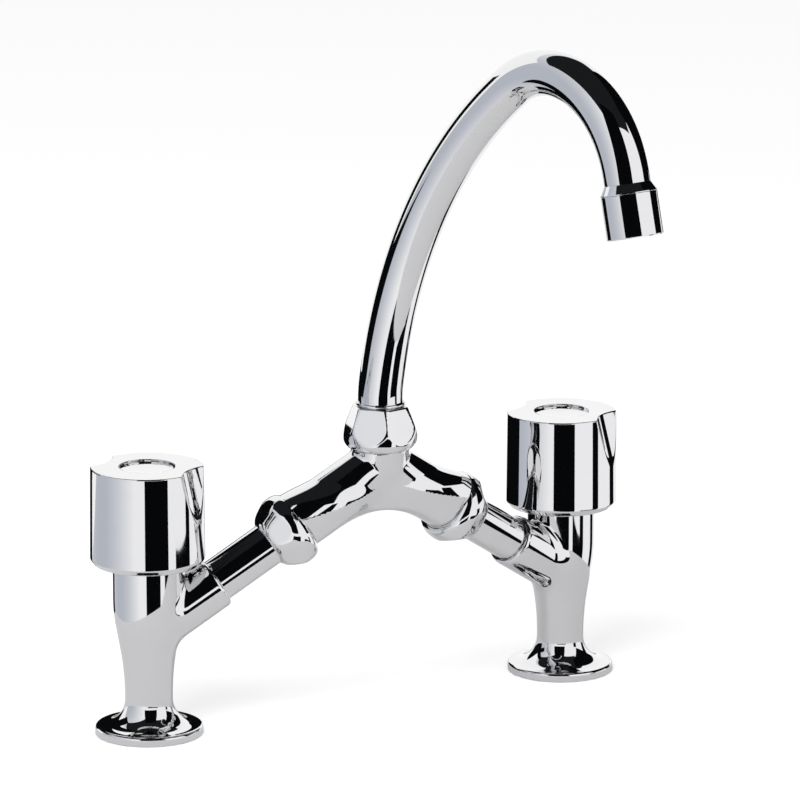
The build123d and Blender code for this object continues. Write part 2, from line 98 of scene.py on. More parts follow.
# Corners of a square from its middle, in half sides.
SQUARE = ((-1, -1), (1, -1), (1, 1), (-1, 1))
Outline = list[tuple[float, float]]


class Side(Enum):
    """The two valves, by the sign of their X."""

    LEFT = -1
    RIGHT = 1

    @property
    def label(self) -> str:
        """Ending of this side's node names."""
        return self.name.lower()


@dataclass
class Skin:
    """A closed surface in millimetres.

    Corner normals hold one normal per face corner; point normals hold one per point.
    """

    points: np.ndarray
    faces: list[tuple[int, ...]]
    corner_normals: np.ndarray | None = None
    point_normals: np.ndarray | None = None

    def moved(self, place: Matrix) -> "Skin":
        """The skin carried by a rigid transform in millimetres.

        Args:
            place: Rigid transform, with its translation in millimetres.

        Returns:
            A new skin.
        """
        turn = np.array(place.to_3x3())
        shift = np.array(place.translation)
        corner = None if self.corner_normals is None else self.corner_normals @ turn.T
        point = None if self.point_normals is None else self.point_normals @ turn.T
        return Skin(self.points @ turn.T + shift, list(self.faces), corner, point)


def shown(name: str, data: bpy.types.ID) -> bpy.types.Object:
    """Makes an object that the scene shows.

    Args:
        name: Name of the object.
        data: Its mesh, lamp, camera or curve.

    Returns:
        The object, at the origin.
    """
    made = bpy.data.objects.new(name, data)
    bpy.context.scene.collection.objects.link(made)
    return made


def piece(name: str, skin: Skin, material: bpy.types.Material) -> bpy.types.Object:
    """Makes one object from a closed skin.

    Args:
        name: Name of the object and of its mesh.
        skin: Surface in millimetres, with normals of one kind.
        material: Finish of the whole piece.

    Returns:
        The object, at the origin, in metres.
    """
    mesh = bpy.data.meshes.new(name)
    mesh.from_pydata((skin.points * MILLIMETRE).tolist(), [], skin.faces)
    mesh.shade_smooth()
    if skin.corner_normals is not None:
        mesh.normals_split_custom_set(skin.corner_normals.tolist())
    else:
        mesh.normals_split_custom_set_from_vertices(skin.point_normals.tolist())
    mesh.materials.append(material)
    return shown(name, mesh)


def arc(centre: tuple[float, float], radius: float, start: float, end: float, steps: int) -> Outline:
    """Points along a circular arc, both ends included.

    Args:
        centre: Centre as (radius, height).
        radius: Radius of the arc.
        start: Start angle in degrees, from the outward direction.
        end: End angle in degrees.
        steps: Number of chords.

    Returns:
        The points as (radius, height).
    """
    angles = np.radians(np.linspace(start, end, steps + 1))
    return [(centre[0] + radius * math.cos(a), centre[1] + radius * math.sin(a)) for a in angles]


def eased(corners: Outline, radius: float, steps: int = 4) -> Outline:
    """Rounds every sharp corner of a closed outline.

    Args:
        corners: Closed outline as (radius, height) points.
        radius: Rounding, kept under a third of the shorter neighbour.
        steps: Chords in each rounding.

    Returns:
        The outline with small arcs at its corners.
    """
    made: Outline = []
    count = len(corners)
    for index, corner in enumerate(corners):
        here = np.array(corner)
        back = np.array(corners[index - 1]) - here
        ahead = np.array(corners[(index + 1) % count]) - here
        lengths = np.linalg.norm(back), np.linalg.norm(ahead)
        back, ahead = back / lengths[0], ahead / lengths[1]
        opening = math.acos(float(np.clip(back @ ahead, -1.0, 1.0)))
        on_axis = corner[0] < POLE_RADIUS
        if on_axis or math.pi - opening < SMOOTH_TURN:
            made.append(corner)
            continue
        reach = min(radius / math.tan(opening / 2), *(ROUNDING_SHARE * length for length in lengths))
        true_radius = reach * math.tan(opening / 2)
        inward = (back + ahead) / np.linalg.norm(back + ahead)
        centre = here + inward * true_radius / math.sin(opening / 2)
        for share in np.linspace(0.0, 1.0, steps + 1):
            chord = (1 - share) * back * reach + share * ahead * reach + here - centre
            made.append(tuple(centre + chord / np.linalg.norm(chord) * true_radius))
    return made


def outline_normals(line: np.ndarray) -> tuple[np.ndarray, np.ndarray]:
    """Normals of a closed outline, smoothed where it hardly turns.

    Args:
        line: Its points as (radius, height), with the body to the left of its run.

    Returns:
        The outward normal at the start and at the end of each chord.
    """
    run = np.roll(line, -1, axis=0) - line
    length = np.maximum(np.linalg.norm(run, axis=1), TINY)
    chord_normal = np.stack([run[:, 1], -run[:, 0]], axis=1) / length[:, None]
    before_normal = np.roll(chord_normal, 1, axis=0)
    weight, before_weight = length[:, None] ** 2, np.roll(length, 1)[:, None] ** 2
    joint_normal = chord_normal * weight + before_normal * before_weight
    joint_normal /= np.maximum(np.linalg.norm(joint_normal, axis=1), TINY)[:, None]
    smooth = np.sum(chord_normal * before_normal, axis=1) > math.cos(SMOOTH_TURN)
    start_normal = np.where(smooth[:, None], joint_normal, chord_normal)
    end_normal = np.roll(np.where(smooth[:, None], joint_normal, before_normal), -1, axis=0)
    return start_normal, end_normal


def turned(outline: Outline, segments: int = FINE_STEPS) -> Skin:
    """Surface of revolution about Z from a closed outline.

    Args:
        outline: Closed outline as (radius, height); points at radius 0 become poles.
        segments: Steps round the axis.

    Returns:
        A closed skin with exact corner normals.
    """
    line = np.array(outline, float)
    after = np.roll(line, -1, axis=0)
    if np.sum(line[:, 0] * after[:, 1] - after[:, 0] * line[:, 1]) < 0:
        line = line[::-1].copy()
    start_normal, end_normal = outline_normals(line)
    angles = 2 * math.pi * np.arange(segments) / segments
    circle = np.stack([np.cos(angles), np.sin(angles)], axis=1)
    on_axis = line[:, 0] < POLE_RADIUS
    points: list[Spot] = []
    first: list[int] = []
    for (radius, height), pole in zip(line, on_axis):
        first.append(len(points))
        spots = circle[:1] if pole else circle
        points += [(radius * x, radius * y, height) for x, y in spots]
    faces: list[tuple[int, ...]] = []
    normals: list[Spot] = []
    count = len(line)
    for index in range(count):
        follow = (index + 1) % count
        if on_axis[index] and on_axis[follow]:
            continue
        for step in range(segments):
            nearby = (step + 1) % segments
            corners = [(index, step), (index, nearby), (follow, nearby), (follow, step)]
            if on_axis[index]:
                corners.pop(1)
            if on_axis[follow]:
                corners.pop(-1)
            faces.append(tuple(first[row] + (0 if on_axis[row] else spot) for row, spot in corners))
            for row, spot in corners:
                radial, upward = start_normal[index] if row == index else end_normal[index]
                normals.append((radial * circle[spot][0], radial * circle[spot][1], upward))
    return Skin(np.array(points), faces, corner_normals=np.array(normals))


def sign_changes(values: np.ndarray) -> tuple[np.ndarray, np.ndarray]:
    """Finds where a sampled field changes sign between neighbours.

    Args:
        values: The field on a grid.

    Returns:
        Per change, its place in grid steps, and the four cells round it in outward order.
    """
    places, cells = [], []
    for axis in range(3):
        near = np.take(values, range(values.shape[axis] - 1), axis=axis)
        far = np.take(values, range(1, values.shape[axis]), axis=axis)
        index = np.argwhere((near < 0) != (far < 0))
        start, end = near[tuple(index.T)], far[tuple(index.T)]
        place = index.astype(float)
        place[:, axis] += start / (start - end)
        places.append(place)
        second, third = (axis + 1) % 3, (axis + 2) % 3
        quads = np.repeat(index[:, None, :], 4, axis=1)
        quads[:, 1:3, second] -= 1
        quads[:, 2:4, third] -= 1
        quads[start > 0] = quads[start > 0][:, ::-1]
        cells.append(np.ravel_multi_index(tuple(np.moveaxis(quads, -1, 0)), values.shape))
    return np.concatenate(places), np.concatenate(cells)


def field_skin(distance: Callable[[Points], np.ndarray], low: Sequence[float], high: Sequence[float],
               step: float) -> Skin:
    """Skins the zero level of a distance function with four-sided faces.

    Args:
        distance: Signed distance in millimetres at an array of points, negative inside.
        low: Lowest corner of the box that holds the body.
        high: Highest corner.
        step: Spacing of the sampling grid.

    Returns:
        A closed skin whose points lie on the surface, with exact point normals.
    """
    low_corner = np.array(low, float)
    counts = np.ceil((np.array(high, float) - low_corner) / step).astype(int) + 1
    grids = np.meshgrid(*[low_corner[k] + step * np.arange(counts[k]) for k in range(3)], indexing="ij")
    values = distance(np.stack(grids, axis=-1).reshape(-1, 3)).reshape(counts)
    places, cells = sign_changes(values)
    used, flat = np.unique(cells.ravel(), return_inverse=True)
    faces = flat.reshape(-1, 4)
    points = np.zeros((len(used), 3))
    np.add.at(points, faces.ravel(), np.repeat(low_corner + step * places, 4, axis=0))
    points /= np.bincount(faces.ravel(), minlength=len(used))[:, None]
    for _ in range(SETTLING_STEPS):
        slope = gradient(distance, points)
        steepness = np.maximum(np.sum(slope**2, axis=1), LEAST_SLOPE)
        points -= slope * (distance(points) / steepness)[:, None]
    normals = gradient(distance, points)
    normals /= np.linalg.norm(normals, axis=1)[:, None]
    return Skin(points, [tuple(face) for face in faces.tolist()], point_normals=normals)


def gradient(distance: Callable[[Points], np.ndarray], points: Points,
             reach: float = 0.02) -> np.ndarray:
    """Slope of a distance function by central differences.

    Args:
        distance: The function.
        points: Where to measure.
        reach: Half the measuring span in millimetres.

    Returns:
        One slope vector per point.
    """
    slopes = []
    for axis in range(3):
        offset = np.zeros(3)
        offset[axis] = reach
        slopes.append((distance(points + offset) - distance(points - offset)) / (2 * reach))
    return np.stack(slopes, axis=1)


def soft_union(first: np.ndarray, second: np.ndarray, width: float) -> np.ndarray:
    """Joins the distances to two bodies with a fillet that reaches a given width."""
    share = np.clip(0.5 + 0.5 * (second - first) / width, 0.0, 1.0)
    return second + (first - second) * share - width * share * (1.0 - share)


def fillet_union(first: np.ndarray, second: np.ndarray, first_normal: Points, second_normal: Points,
                 radius: float) -> np.ndarray:
    """Joins two distance fields with a fillet that fades where they run side by side.

    Args:
        first: Distances to one body.
        second: Distances to the other.
        first_normal: Outward directions of the first body.
        second_normal: Outward directions of the second.
        radius: Radius of the fillet in millimetres.

    Returns:
        Distances to the joined body.
    """
    width = radius * (1.0 - np.sum(first_normal * second_normal, axis=1))
    return soft_union(first, second, np.maximum(width, LEAST_LENGTH))


def soft_cut(first: np.ndarray, second: np.ndarray, width: float) -> np.ndarray:
    """Keeps what two distance fields share, with a rounded edge of a given width."""
    return -soft_union(-first, -second, width)


def lathe_spots(points: Points, axis_y: float = 0.0) -> tuple[np.ndarray, np.ndarray]:
    """Radius and height of points about an upright axis at x = 0."""
    return np.hypot(points[:, 0], points[:, 1] - axis_y), points[:, 2]


def disc(radius: np.ndarray, height: np.ndarray, size: float, bottom: float, top: float) -> np.ndarray:
    """Distance to a round bar on the axis, exact on its faces."""
    return np.maximum(radius - size, np.maximum(bottom - height, height - top))


def hexagon(x: np.ndarray, y: np.ndarray, inner_radius: np.ndarray | float) -> np.ndarray:
    """Distance to a six-sided bar with flats facing +Y and -Y."""
    faces = [np.cos(turn) * x + np.sin(turn) * y for turn in FLAT_HEADINGS]
    return np.max(faces, axis=0) - inner_radius


def linear_colour(hex_colour: str) -> tuple[float, float, float, float]:
    """Turns an sRGB hex colour to linear.

    Args:
        hex_colour: Colour such as "#c8c9cc".

    Returns:
        Red, green, blue and alpha in linear light.
    """
    values = [int(hex_colour[start:start + 2], 16) / 255 for start in (1, 3, 5)]
    linear = [value / 12.92 if value <= 0.04045 else ((value + 0.055) / 1.055) ** 2.4
              for value in values]
    return (*linear, 1.0)


def add_node(tree: bpy.types.NodeTree, kind: str, settings: dict[str, object] | None = None,
             inputs: dict[str | int, object] | None = None) -> bpy.types.Node:
    """Adds a node with its settings, values and links.

    Args:
        tree: Tree that gets the node.
        kind: Type name of the node.
        settings: Properties of the node.
        inputs: Per socket, by name or number, a value or the socket that feeds it.

    Returns:
        The node.
    """
    node = tree.nodes.new(kind)
    for key, value in (settings or {}).items():
        setattr(node, key, value)
    for key, value in (inputs or {}).items():
        if isinstance(value, bpy.types.NodeSocket):
            tree.links.new(value, node.inputs[key])
        else:
            node.inputs[key].default_value = value
    return node


def bare_material(name: str) -> tuple[bpy.types.Material, bpy.types.NodeTree]:
    """Makes a material without nodes.

    Args:
        name: Name of the material.

    Returns:
        The material and its empty tree.
    """
    material = bpy.data.materials.new(name)
    material.use_nodes = True
    material.node_tree.nodes.clear()
    return material, material.node_tree


def growing_tree(name: str, inputs: dict[str, str]) -> bpy.types.NodeTree:
    """Makes a geometry node tree with named inputs.

    Args:
        name: Name of the tree.
        inputs: Kind of socket per name, after the geometry that comes first.

    Returns:
        The tree, with one geometry output.
    """
    tree = bpy.data.node_groups.new(name, "GeometryNodeTree")
    for label, kind in {"Geometry": "NodeSocketGeometry", **inputs}.items():
        tree.interface.new_socket(label, in_out="INPUT", socket_type=kind)
    tree.interface.new_socket("Geometry", in_out="OUTPUT", socket_type="NodeSocketGeometry")
    return tree


def end_tree(tree: bpy.types.NodeTree, grown: bpy.types.NodeSocket,
             material: bpy.types.Material) -> None:
    """Ends a geometry node tree with real geometry in its finish.

    Args:
        tree: The tree.
        grown: The geometry that it has made.
        material: The finish.
    """
    real = add_node(tree, "GeometryNodeRealizeInstances", inputs={0: grown}).outputs[0]
    dressed = add_node(tree, "GeometryNodeSetMaterial", inputs={"Geometry": real, "Material": material})
    add_node(tree, "NodeGroupOutput", inputs={0: dressed.outputs[0]})


@dataclass(frozen=True)
class Finish:
    """One surface finish: what it is made of and how it was worked."""

    name: str
    colour: str
    shade: str
    metallic: float
    roughness: float
    roughness_spread: float
    grain_mm: float
    bump_mm: float = 0.0

    def build(self) -> bpy.types.Material:
        """Makes the node material.

        Returns:
            A material whose grain is worked out from its size in millimetres.
        """
        material, tree = bare_material(self.name)
        place = add_node(tree, "ShaderNodeTexCoord")
        grain = add_node(tree, "ShaderNodeTexNoise", inputs={
            "Vector": place.outputs["Object"],
            "Scale": 1.0 / (self.grain_mm * MILLIMETRE),
            "Detail": GRAIN_DETAIL,
        })
        rough = add_node(tree, "ShaderNodeMapRange", inputs={
            "Value": grain.outputs["Fac"],
            "From Min": GRAIN_SPAN[0],
            "From Max": GRAIN_SPAN[1],
            "To Min": max(self.roughness - self.roughness_spread, SMOOTHEST),
            "To Max": self.roughness + self.roughness_spread,
        })
        tint = add_node(tree, "ShaderNodeMix", {"data_type": "RGBA"}, {
            "Factor": grain.outputs["Fac"],
            6: linear_colour(self.colour),
            7: linear_colour(self.shade),
        })
        shader = add_node(tree, "ShaderNodeBsdfPrincipled", inputs={
            "Base Color": linear_colour(self.colour),
            "Metallic": self.metallic,
            "Roughness": rough.outputs["Result"],
        })
        tree.links.new(tint.outputs[2], shader.inputs["Base Color"])
        if self.bump_mm > 0:
            bump = add_node(tree, "ShaderNodeBump", inputs={
                "Strength": 1.0,
                "Distance": self.bump_mm * MILLIMETRE,
                "Height": grain.outputs["Fac"],
            })
            tree.links.new(bump.outputs["Normal"], shader.inputs["Normal"])
        add_node(tree, "ShaderNodeOutputMaterial", inputs={"Surface": shader.outputs["BSDF"]})
        return material


# Bright nickel-chromium plate on polished brass: a mirror with a cool, slightly grey tone.
CHROME_PLATE = Finish("bright_chrome_plate", "#e5e5e6", "#e1e1e2", metallic=1.0,
                      roughness=0.03, roughness_spread=0.01, grain_mm=6.0)
# Turned brass left unplated inside the valves: yellow metal with fine lathe marks.
TURNED_BRASS = Finish("turned_brass", "#c9a25a", "#b48e4c", metallic=1.0,
                      roughness=0.28, roughness_spread=0.06, grain_mm=0.6, bump_mm=0.004)
# Moulded nitrile rubber of rings and washers: matt near-black.
NITRILE_RUBBER = Finish("moulded_nitrile_rubber", "#1d1d1f", "#262628", metallic=0.0,
                        roughness=0.62, roughness_spread=0.08, grain_mm=0.5, bump_mm=0.01)
# Pressed vulcanised fibre of the flat washers: dull brick red.
RED_FIBRE = Finish("pressed_red_fibre", "#8a3326", "#7a2c20", metallic=0.0,
                   roughness=0.75, roughness_spread=0.05, grain_mm=0.35, bump_mm=0.012)
# Moulded acetal of the aerator cartridge and splined bush: milky white.
WHITE_ACETAL = Finish("moulded_white_acetal", "#e9e8e2", "#e2e1da", metallic=0.0,
                      roughness=0.38, roughness_spread=0.05, grain_mm=1.2, bump_mm=0.006)
# Drawn and stamped stainless steel of clips, screws and screen: satin grey.
SATIN_STAINLESS = Finish("satin_stainless_steel", "#b4b6b8", "#a9abae", metallic=1.0,
                         roughness=0.22, roughness_spread=0.05, grain_mm=0.4, bump_mm=0.003)


@dataclass(frozen=True)
class FinishSet:
    """The materials of the tap, by the record's slot names."""

    chrome_plate: bpy.types.Material
    plain_brass: bpy.types.Material
    seal_rubber: bpy.types.Material
    red_fibre: bpy.types.Material
    white_polymer: bpy.types.Material
    stainless_steel: bpy.types.Material

    @classmethod
    def build(cls) -> "FinishSet":
        """Makes every material of the tap once."""
        finishes = (CHROME_PLATE, TURNED_BRASS, NITRILE_RUBBER, RED_FIBRE, WHITE_ACETAL, SATIN_STAINLESS)
        return cls(*(finish.build() for finish in finishes))

    def for_slot(self, slot: str) -> bpy.types.Material:
        """The material of one of the record's slots."""
        return getattr(self, slot)


@dataclass
class Bench:
    """What the sub-assemblies share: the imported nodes, the finishes and the pieces made so far."""

    nodes: dict[str, bpy.types.Object]
    finishes: FinishSet
    made: list[str] = field(default_factory=list)

    def plate(self, name: str, skin: Skin, body: str, node: str) -> None:
        """Makes a chrome-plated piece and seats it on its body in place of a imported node."""
        self.seat(piece(name, skin, self.finishes.chrome_plate), body, "chrome_plate", node)

    def seat(self, made: bpy.types.Object, body: str, slot: str, node: str | None = None) -> None:
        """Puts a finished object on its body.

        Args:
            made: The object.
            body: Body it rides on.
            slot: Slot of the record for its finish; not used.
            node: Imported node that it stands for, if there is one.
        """
        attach(made, body)
        if node is not None:
            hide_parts(node)
        self.made.append(made.name)
        LOG.info("%s: %d faces on %s", made.name, len(made.data.polygons), body)


@dataclass
class Layout:
    """Where the sub-assemblies stand, in millimetres, in the part's frame."""

    half_spacing: float = 100.0
    bridge_forward: float = 20.0
    arm_axis_height: float = 44.8
    arm_rise: float = 0.62
    spout_heading: float = -81.1

    @property
    def plan_length(self) -> float:
        """Distance in plan from a pillar to the spout."""
        return math.hypot(self.half_spacing, self.bridge_forward)

    @property
    def meeting_height(self) -> float:
        """Height where the axes of both arms meet."""
        return self.arm_axis_height + self.arm_rise * self.plan_length

    def pillar_place(self, side: Side) -> Matrix:
        """Upright frame of one valve."""
        return Matrix.Translation((side.value * self.half_spacing, 0.0, 0.0))

    def arm_place(self, side: Side) -> Matrix:
        """Frame at a pillar with Z along its slanted arm.

        Args:
            side: Which valve.

        Returns:
            The frame, with X level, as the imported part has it.
        """
        along = Vector((-side.value * self.half_spacing, -self.bridge_forward,
                        self.arm_rise * self.plan_length)).normalized()
        across = Vector((self.bridge_forward, -side.value * self.half_spacing, 0.0)).normalized()
        turn = Matrix((across, along.cross(across), along)).transposed().to_4x4()
        return Matrix.Translation((side.value * self.half_spacing, 0.0, self.arm_axis_height)) @ turn

    def spout_place(self) -> Matrix:
        """Upright frame of the spout, with X towards its outlet."""
        centre = Matrix.Translation((0.0, -self.bridge_forward, 0.0))
        return centre @ Matrix.Rotation(math.radians(self.spout_heading), 4, "Z")


@dataclass
class Pillar:
    """Cast and plated valve body with its branch."""

    layout: Layout
    flange_radius: float = 22.7
    flange_height: float = 4.0
    flange_edge: float = 1.4
    dish_radius: float = 11.0
    neck_radius: float = 10.0
    stem_bottom: float = 15.5
    stem_top: float = 58.5
    stem_radius: float = 14.6
    stem_lean: float = 10.0
    shoulder_radius: float = 70.0
    top: float = 76.0
    branch_radius: float = 11.3
    branch_start: float = 2.0
    branch_length: float = 35.2
    branch_edge: float = 1.0
    branch_fillet: float = 3.2
    socket_start: float = 21.0
    socket_radius: float = 9.35
    waterway_radius: float = 6.0
    waterway_start: float = 6.0
    inlet_radius: float = 7.6
    inlet_depth: float = 14.0
    seal_inner: float = 17.0
    seal_outer: float = 21.0
    seal_depth: float = 2.0
    seat_radius: float = 5.5
    seat_top: float = 37.5
    seat_thickness: float = 2.4
    chamber_radius: float = 9.0
    chamber_bottom: float = 36.3
    chamber_top: float = 57.0
    thread_radius: float = 10.25
    cell: float = 0.6
    box_reach: float = 24.0
    box_past_branch: float = 14.0
    box_below: float = 1.3
    box_above: float = 1.4

    def stem_profile(self, height: np.ndarray) -> tuple[np.ndarray, np.ndarray]:
        """Outside of the stem: a slim neck that leans out to a shoulder.

        Args:
            height: Heights.

        Returns:
            Radius and its slope at those heights.
        """
        lean = math.radians(self.stem_lean)
        rise = self.stem_top - self.stem_bottom
        straight = (self.stem_radius - self.neck_radius) / math.tan(lean / 2) - rise
        waist_radius = (rise - straight * math.cos(lean)) / math.sin(lean) - self.shoulder_radius
        waist_top = self.stem_bottom + waist_radius * math.sin(lean)
        shoulder_bottom = self.stem_top - self.shoulder_radius * math.sin(lean)
        low = np.clip(height - self.stem_bottom, 0.0, waist_top - self.stem_bottom)
        radius = self.neck_radius + waist_radius - np.sqrt(waist_radius**2 - low**2)
        slope = low / np.sqrt(waist_radius**2 - low**2)
        middle = np.clip(height - waist_top, 0.0, shoulder_bottom - waist_top)
        radius = radius + middle * math.tan(lean)
        high = np.clip(self.stem_top - height, 0.0, self.shoulder_radius * math.sin(lean))
        crown = np.sqrt(self.shoulder_radius**2 - high**2)
        shoulder = crown - self.shoulder_radius * math.cos(lean)
        radius = radius + np.where(height > shoulder_bottom, shoulder, 0.0)
        slope = np.where(height > shoulder_bottom, high / crown, np.minimum(slope, math.tan(lean)))
        return radius, slope

    def outside(self, points: Points) -> np.ndarray:
        """Distance to the turned outside with its flange."""
        radius, height = lathe_spots(points)
        profile, slope = self.stem_profile(height)
        stem = np.maximum((radius - profile) / np.hypot(1.0, slope), height - self.top)
        edge_x = np.maximum(radius - self.flange_radius + self.flange_edge, 0.0)
        edge_z = np.maximum(height - self.flange_height + self.flange_edge, 0.0)
        flange = np.hypot(edge_x, edge_z) - self.flange_edge
        flange = np.where((edge_x == 0) & (edge_z == 0), -self.flange_edge, flange)
        flange = np.maximum(flange, height - self.flange_height)
        dish_x = self.neck_radius + self.dish_radius
        dish_z = self.flange_height + self.dish_radius
        dish = self.dish_radius - np.hypot(radius - dish_x, height - dish_z)
        collar = np.maximum(dish, np.maximum(radius - dish_x, height - dish_z))
        return np.maximum(np.minimum(np.minimum(stem, flange), collar), -height)

    def inside(self, points: Points) -> np.ndarray:
        """Distance to the inlet, the waterway, the chamber, the thread and the seal recess."""
        radius, height = lathe_spots(points)
        rooms = [
            disc(radius, height, self.inlet_radius, -CUT_PAST, self.inlet_depth),
            disc(radius, height, self.waterway_radius, 0.0, self.seat_top - self.seat_thickness),
            disc(radius, height, self.seat_radius, 0.0, self.chamber_top),
            disc(radius, height, self.chamber_radius, self.chamber_bottom, self.chamber_top),
            disc(radius, height, self.thread_radius, self.chamber_top, self.top + CUT_PAST),
        ]
        recess = np.abs(radius - (self.seal_inner + self.seal_outer) / 2)
        recess = recess - (self.seal_outer - self.seal_inner) / 2
        rooms.append(np.maximum(recess, height - self.seal_depth))
        return np.min(rooms, axis=0)

    def build(self, bench: Bench, side: Side) -> None:
        """Makes one pillar.

        Args:
            bench: What the sub-assemblies share.
            side: Which valve.
        """
        upright = self.layout.pillar_place(side)
        arm = np.array((upright.inverted() @ self.layout.arm_place(side)).inverted())

        def distance(points: Points) -> np.ndarray:
            """Distance to the whole casting in the pillar's own frame."""
            local = points @ arm[:3, :3].T + arm[:3, 3]
            around, along = np.hypot(local[:, 0], local[:, 1]), local[:, 2]
            branch = soft_cut(around - self.branch_radius, along - self.branch_length,
                              2 * self.branch_edge)
            branch = np.maximum(branch, self.branch_start - along)
            solid = soft_union(self.outside(points), branch, self.branch_fillet)
            socket = disc(around, along, self.socket_radius, self.socket_start,
                          self.branch_length + CUT_PAST)
            bore = disc(around, along, self.waterway_radius, self.waterway_start, self.socket_start)
            rooms = np.minimum(self.inside(points), np.minimum(socket, bore))
            return soft_cut(solid, -rooms, ROOM_EDGE)

        reach = self.box_reach
        inward = -side.value * (self.branch_length + self.box_past_branch)
        low = (min(-reach, inward), -reach, -self.box_below)
        high = (max(reach, inward), reach, self.top + self.box_above)
        skin = field_skin(distance, low, high, self.cell)
        skin.points[:, 2] = np.clip(skin.points[:, 2], 0.0, self.top)
        name = f"pillar_{side.label}"
        bench.plate(f"{name}_casting", skin.moved(upright), "base", name)


@dataclass
class Knob:
    """Wide round knob with two finger scoops, and the dished cap in its top."""

    layout: Layout
    bottom: float = 73.6
    top: float = 115.2
    bottom_radius: float = 24.0
    top_radius: float = 23.6
    chamfer_height: float = 2.4
    chamfer_width: float = 2.0
    bore_radius: float = 15.4
    boss_radius: float = 9.4
    bush_bottom: float = 87.5
    bush_inner_radius: float = 6.25
    web_bottom: float = 99.0
    web_top: float = 105.0
    screw_hole: float = 2.3
    well_radius: float = 4.6
    recess_radius: float = 11.8
    recess_depth: float = 1.2
    cap_radius: float = 11.7
    cap_thickness: float = 2.0
    cap_rim: float = 0.4
    cap_dish: float = 0.8
    cap_dish_steps: int = 16
    cap_steps: int = 96
    cap_stem_radius: float = 4.5
    cap_stem_wall: float = 0.8
    cap_stem_length: float = 2.6
    scoop_radius: float = 21.0
    scoop_depth: float = 5.1
    scoop_length: float = 20.0
    scoop_headings: tuple[float, float] = (-54.0, 126.0)
    edge: float = 0.5
    chamfer_edge: float = 0.3
    room_edge: float = 0.25
    cap_edge: float = 0.12
    cell: float = 0.42
    box_beside: float = 1.5
    box_above: float = 1.2

    def blank(self, points: Points) -> np.ndarray:
        """Distance to the turned blank with its chamfer."""
        radius, height = lathe_spots(points)
        chamfer_top = self.bottom + self.chamfer_height
        taper = (self.bottom_radius - self.top_radius) / (self.top - chamfer_top)
        wall = (radius - self.bottom_radius + taper * (height - chamfer_top)) / math.hypot(1.0, taper)
        reach = math.hypot(self.chamfer_height, self.chamfer_width)
        lean = (radius - self.bottom_radius) * self.chamfer_height
        lean = lean + (chamfer_top - height) * self.chamfer_width
        body = soft_cut(wall, lean / reach, self.chamfer_edge)
        body = soft_cut(body, height - self.top, self.edge)
        return soft_cut(body, self.bottom - height, self.edge)

    def scoops(self, points: Points) -> np.ndarray:
        """Distance to the two tilted round cutters of the finger scoops."""
        tilt = math.atan2(self.scoop_depth, self.scoop_length)
        reach = self.top_radius - self.scoop_depth + self.scoop_radius / math.cos(tilt)
        found = []
        for heading in np.radians(self.scoop_headings):
            outward = points[:, 0] * math.cos(heading) + points[:, 1] * math.sin(heading) - reach
            sideways = points[:, 1] * math.cos(heading) - points[:, 0] * math.sin(heading)
            leaning = outward * math.cos(tilt) + (points[:, 2] - self.top) * math.sin(tilt)
            found.append(np.hypot(leaning, sideways) - self.scoop_radius)
        return np.min(found, axis=0)

    def rooms(self, points: Points) -> np.ndarray:
        """Distance to the spaces inside the knob and to the recess on top."""
        radius, height = lathe_spots(points)
        well_bottom = self.bush_bottom - OVERLAP
        skirt = disc(radius, height, self.bore_radius, self.bottom - CUT_PAST, self.bush_bottom)
        well = disc(radius, height, self.bore_radius, well_bottom, self.web_bottom)
        socket = hexagon(points[:, 0], points[:, 1], self.bush_inner_radius)
        socket = np.maximum(socket, np.maximum(height - self.web_bottom, well_bottom - height))
        floor = self.top - self.recess_depth - self.cap_thickness
        return np.min([
            skirt,
            np.maximum(well, self.boss_radius - radius),
            socket,
            disc(radius, height, self.screw_hole, self.web_bottom - OVERLAP, self.web_top),
            disc(radius, height, self.well_radius, self.web_top, floor + OVERLAP),
            disc(radius, height, self.recess_radius, floor, self.top + CUT_PAST),
        ], axis=0)

    def knob(self) -> Skin:
        """The knob's skin, upright at the origin."""
        def distance(points: Points) -> np.ndarray:
            """Distance to the finished knob."""
            solid = soft_cut(self.blank(points), -self.scoops(points), self.edge)
            return soft_cut(solid, -self.rooms(points), self.room_edge)

        reach = self.bottom_radius + self.box_beside
        low = (-reach, -reach, self.bottom - self.box_above)
        high = (reach, reach, self.top + self.box_above)
        return field_skin(distance, low, high, self.cell)

    def cap(self) -> Skin:
        """The dished cap with its hollow stem, upright at the origin."""
        top = self.top - self.recess_depth
        bottom = top - self.cap_thickness
        dish = self.cap_radius - self.cap_rim
        ball = (dish**2 + self.cap_dish**2) / (2 * self.cap_dish)
        stem_inner = self.cap_stem_radius - self.cap_stem_wall
        half_angle = math.degrees(math.asin(dish / ball))
        middle = (0.0, top - self.cap_dish + ball)
        bowl = arc(middle, ball, -90.0, -90.0 + half_angle, self.cap_dish_steps)
        return turned(eased([
            (0.0, bottom),
            *bowl,
            (self.cap_radius, top),
            (self.cap_radius, bottom),
            (self.cap_stem_radius, bottom),
            (self.cap_stem_radius, bottom - self.cap_stem_length),
            (stem_inner, bottom - self.cap_stem_length),
            (stem_inner, bottom),
        ], self.cap_edge), self.cap_steps)

    def build(self, bench: Bench, side: Side) -> None:
        """Makes one knob and its cap.

        Args:
            bench: What the sub-assemblies share.
            side: Which valve.
        """
        place = self.layout.pillar_place(side)
        body = f"handle_{side.label}"
        bench.plate(f"knob_{side.label}", self.knob().moved(place), body, body)
        bench.plate(f"dished_cap_{side.label}", self.cap().moved(place), body, f"index_cap_{side.label}")


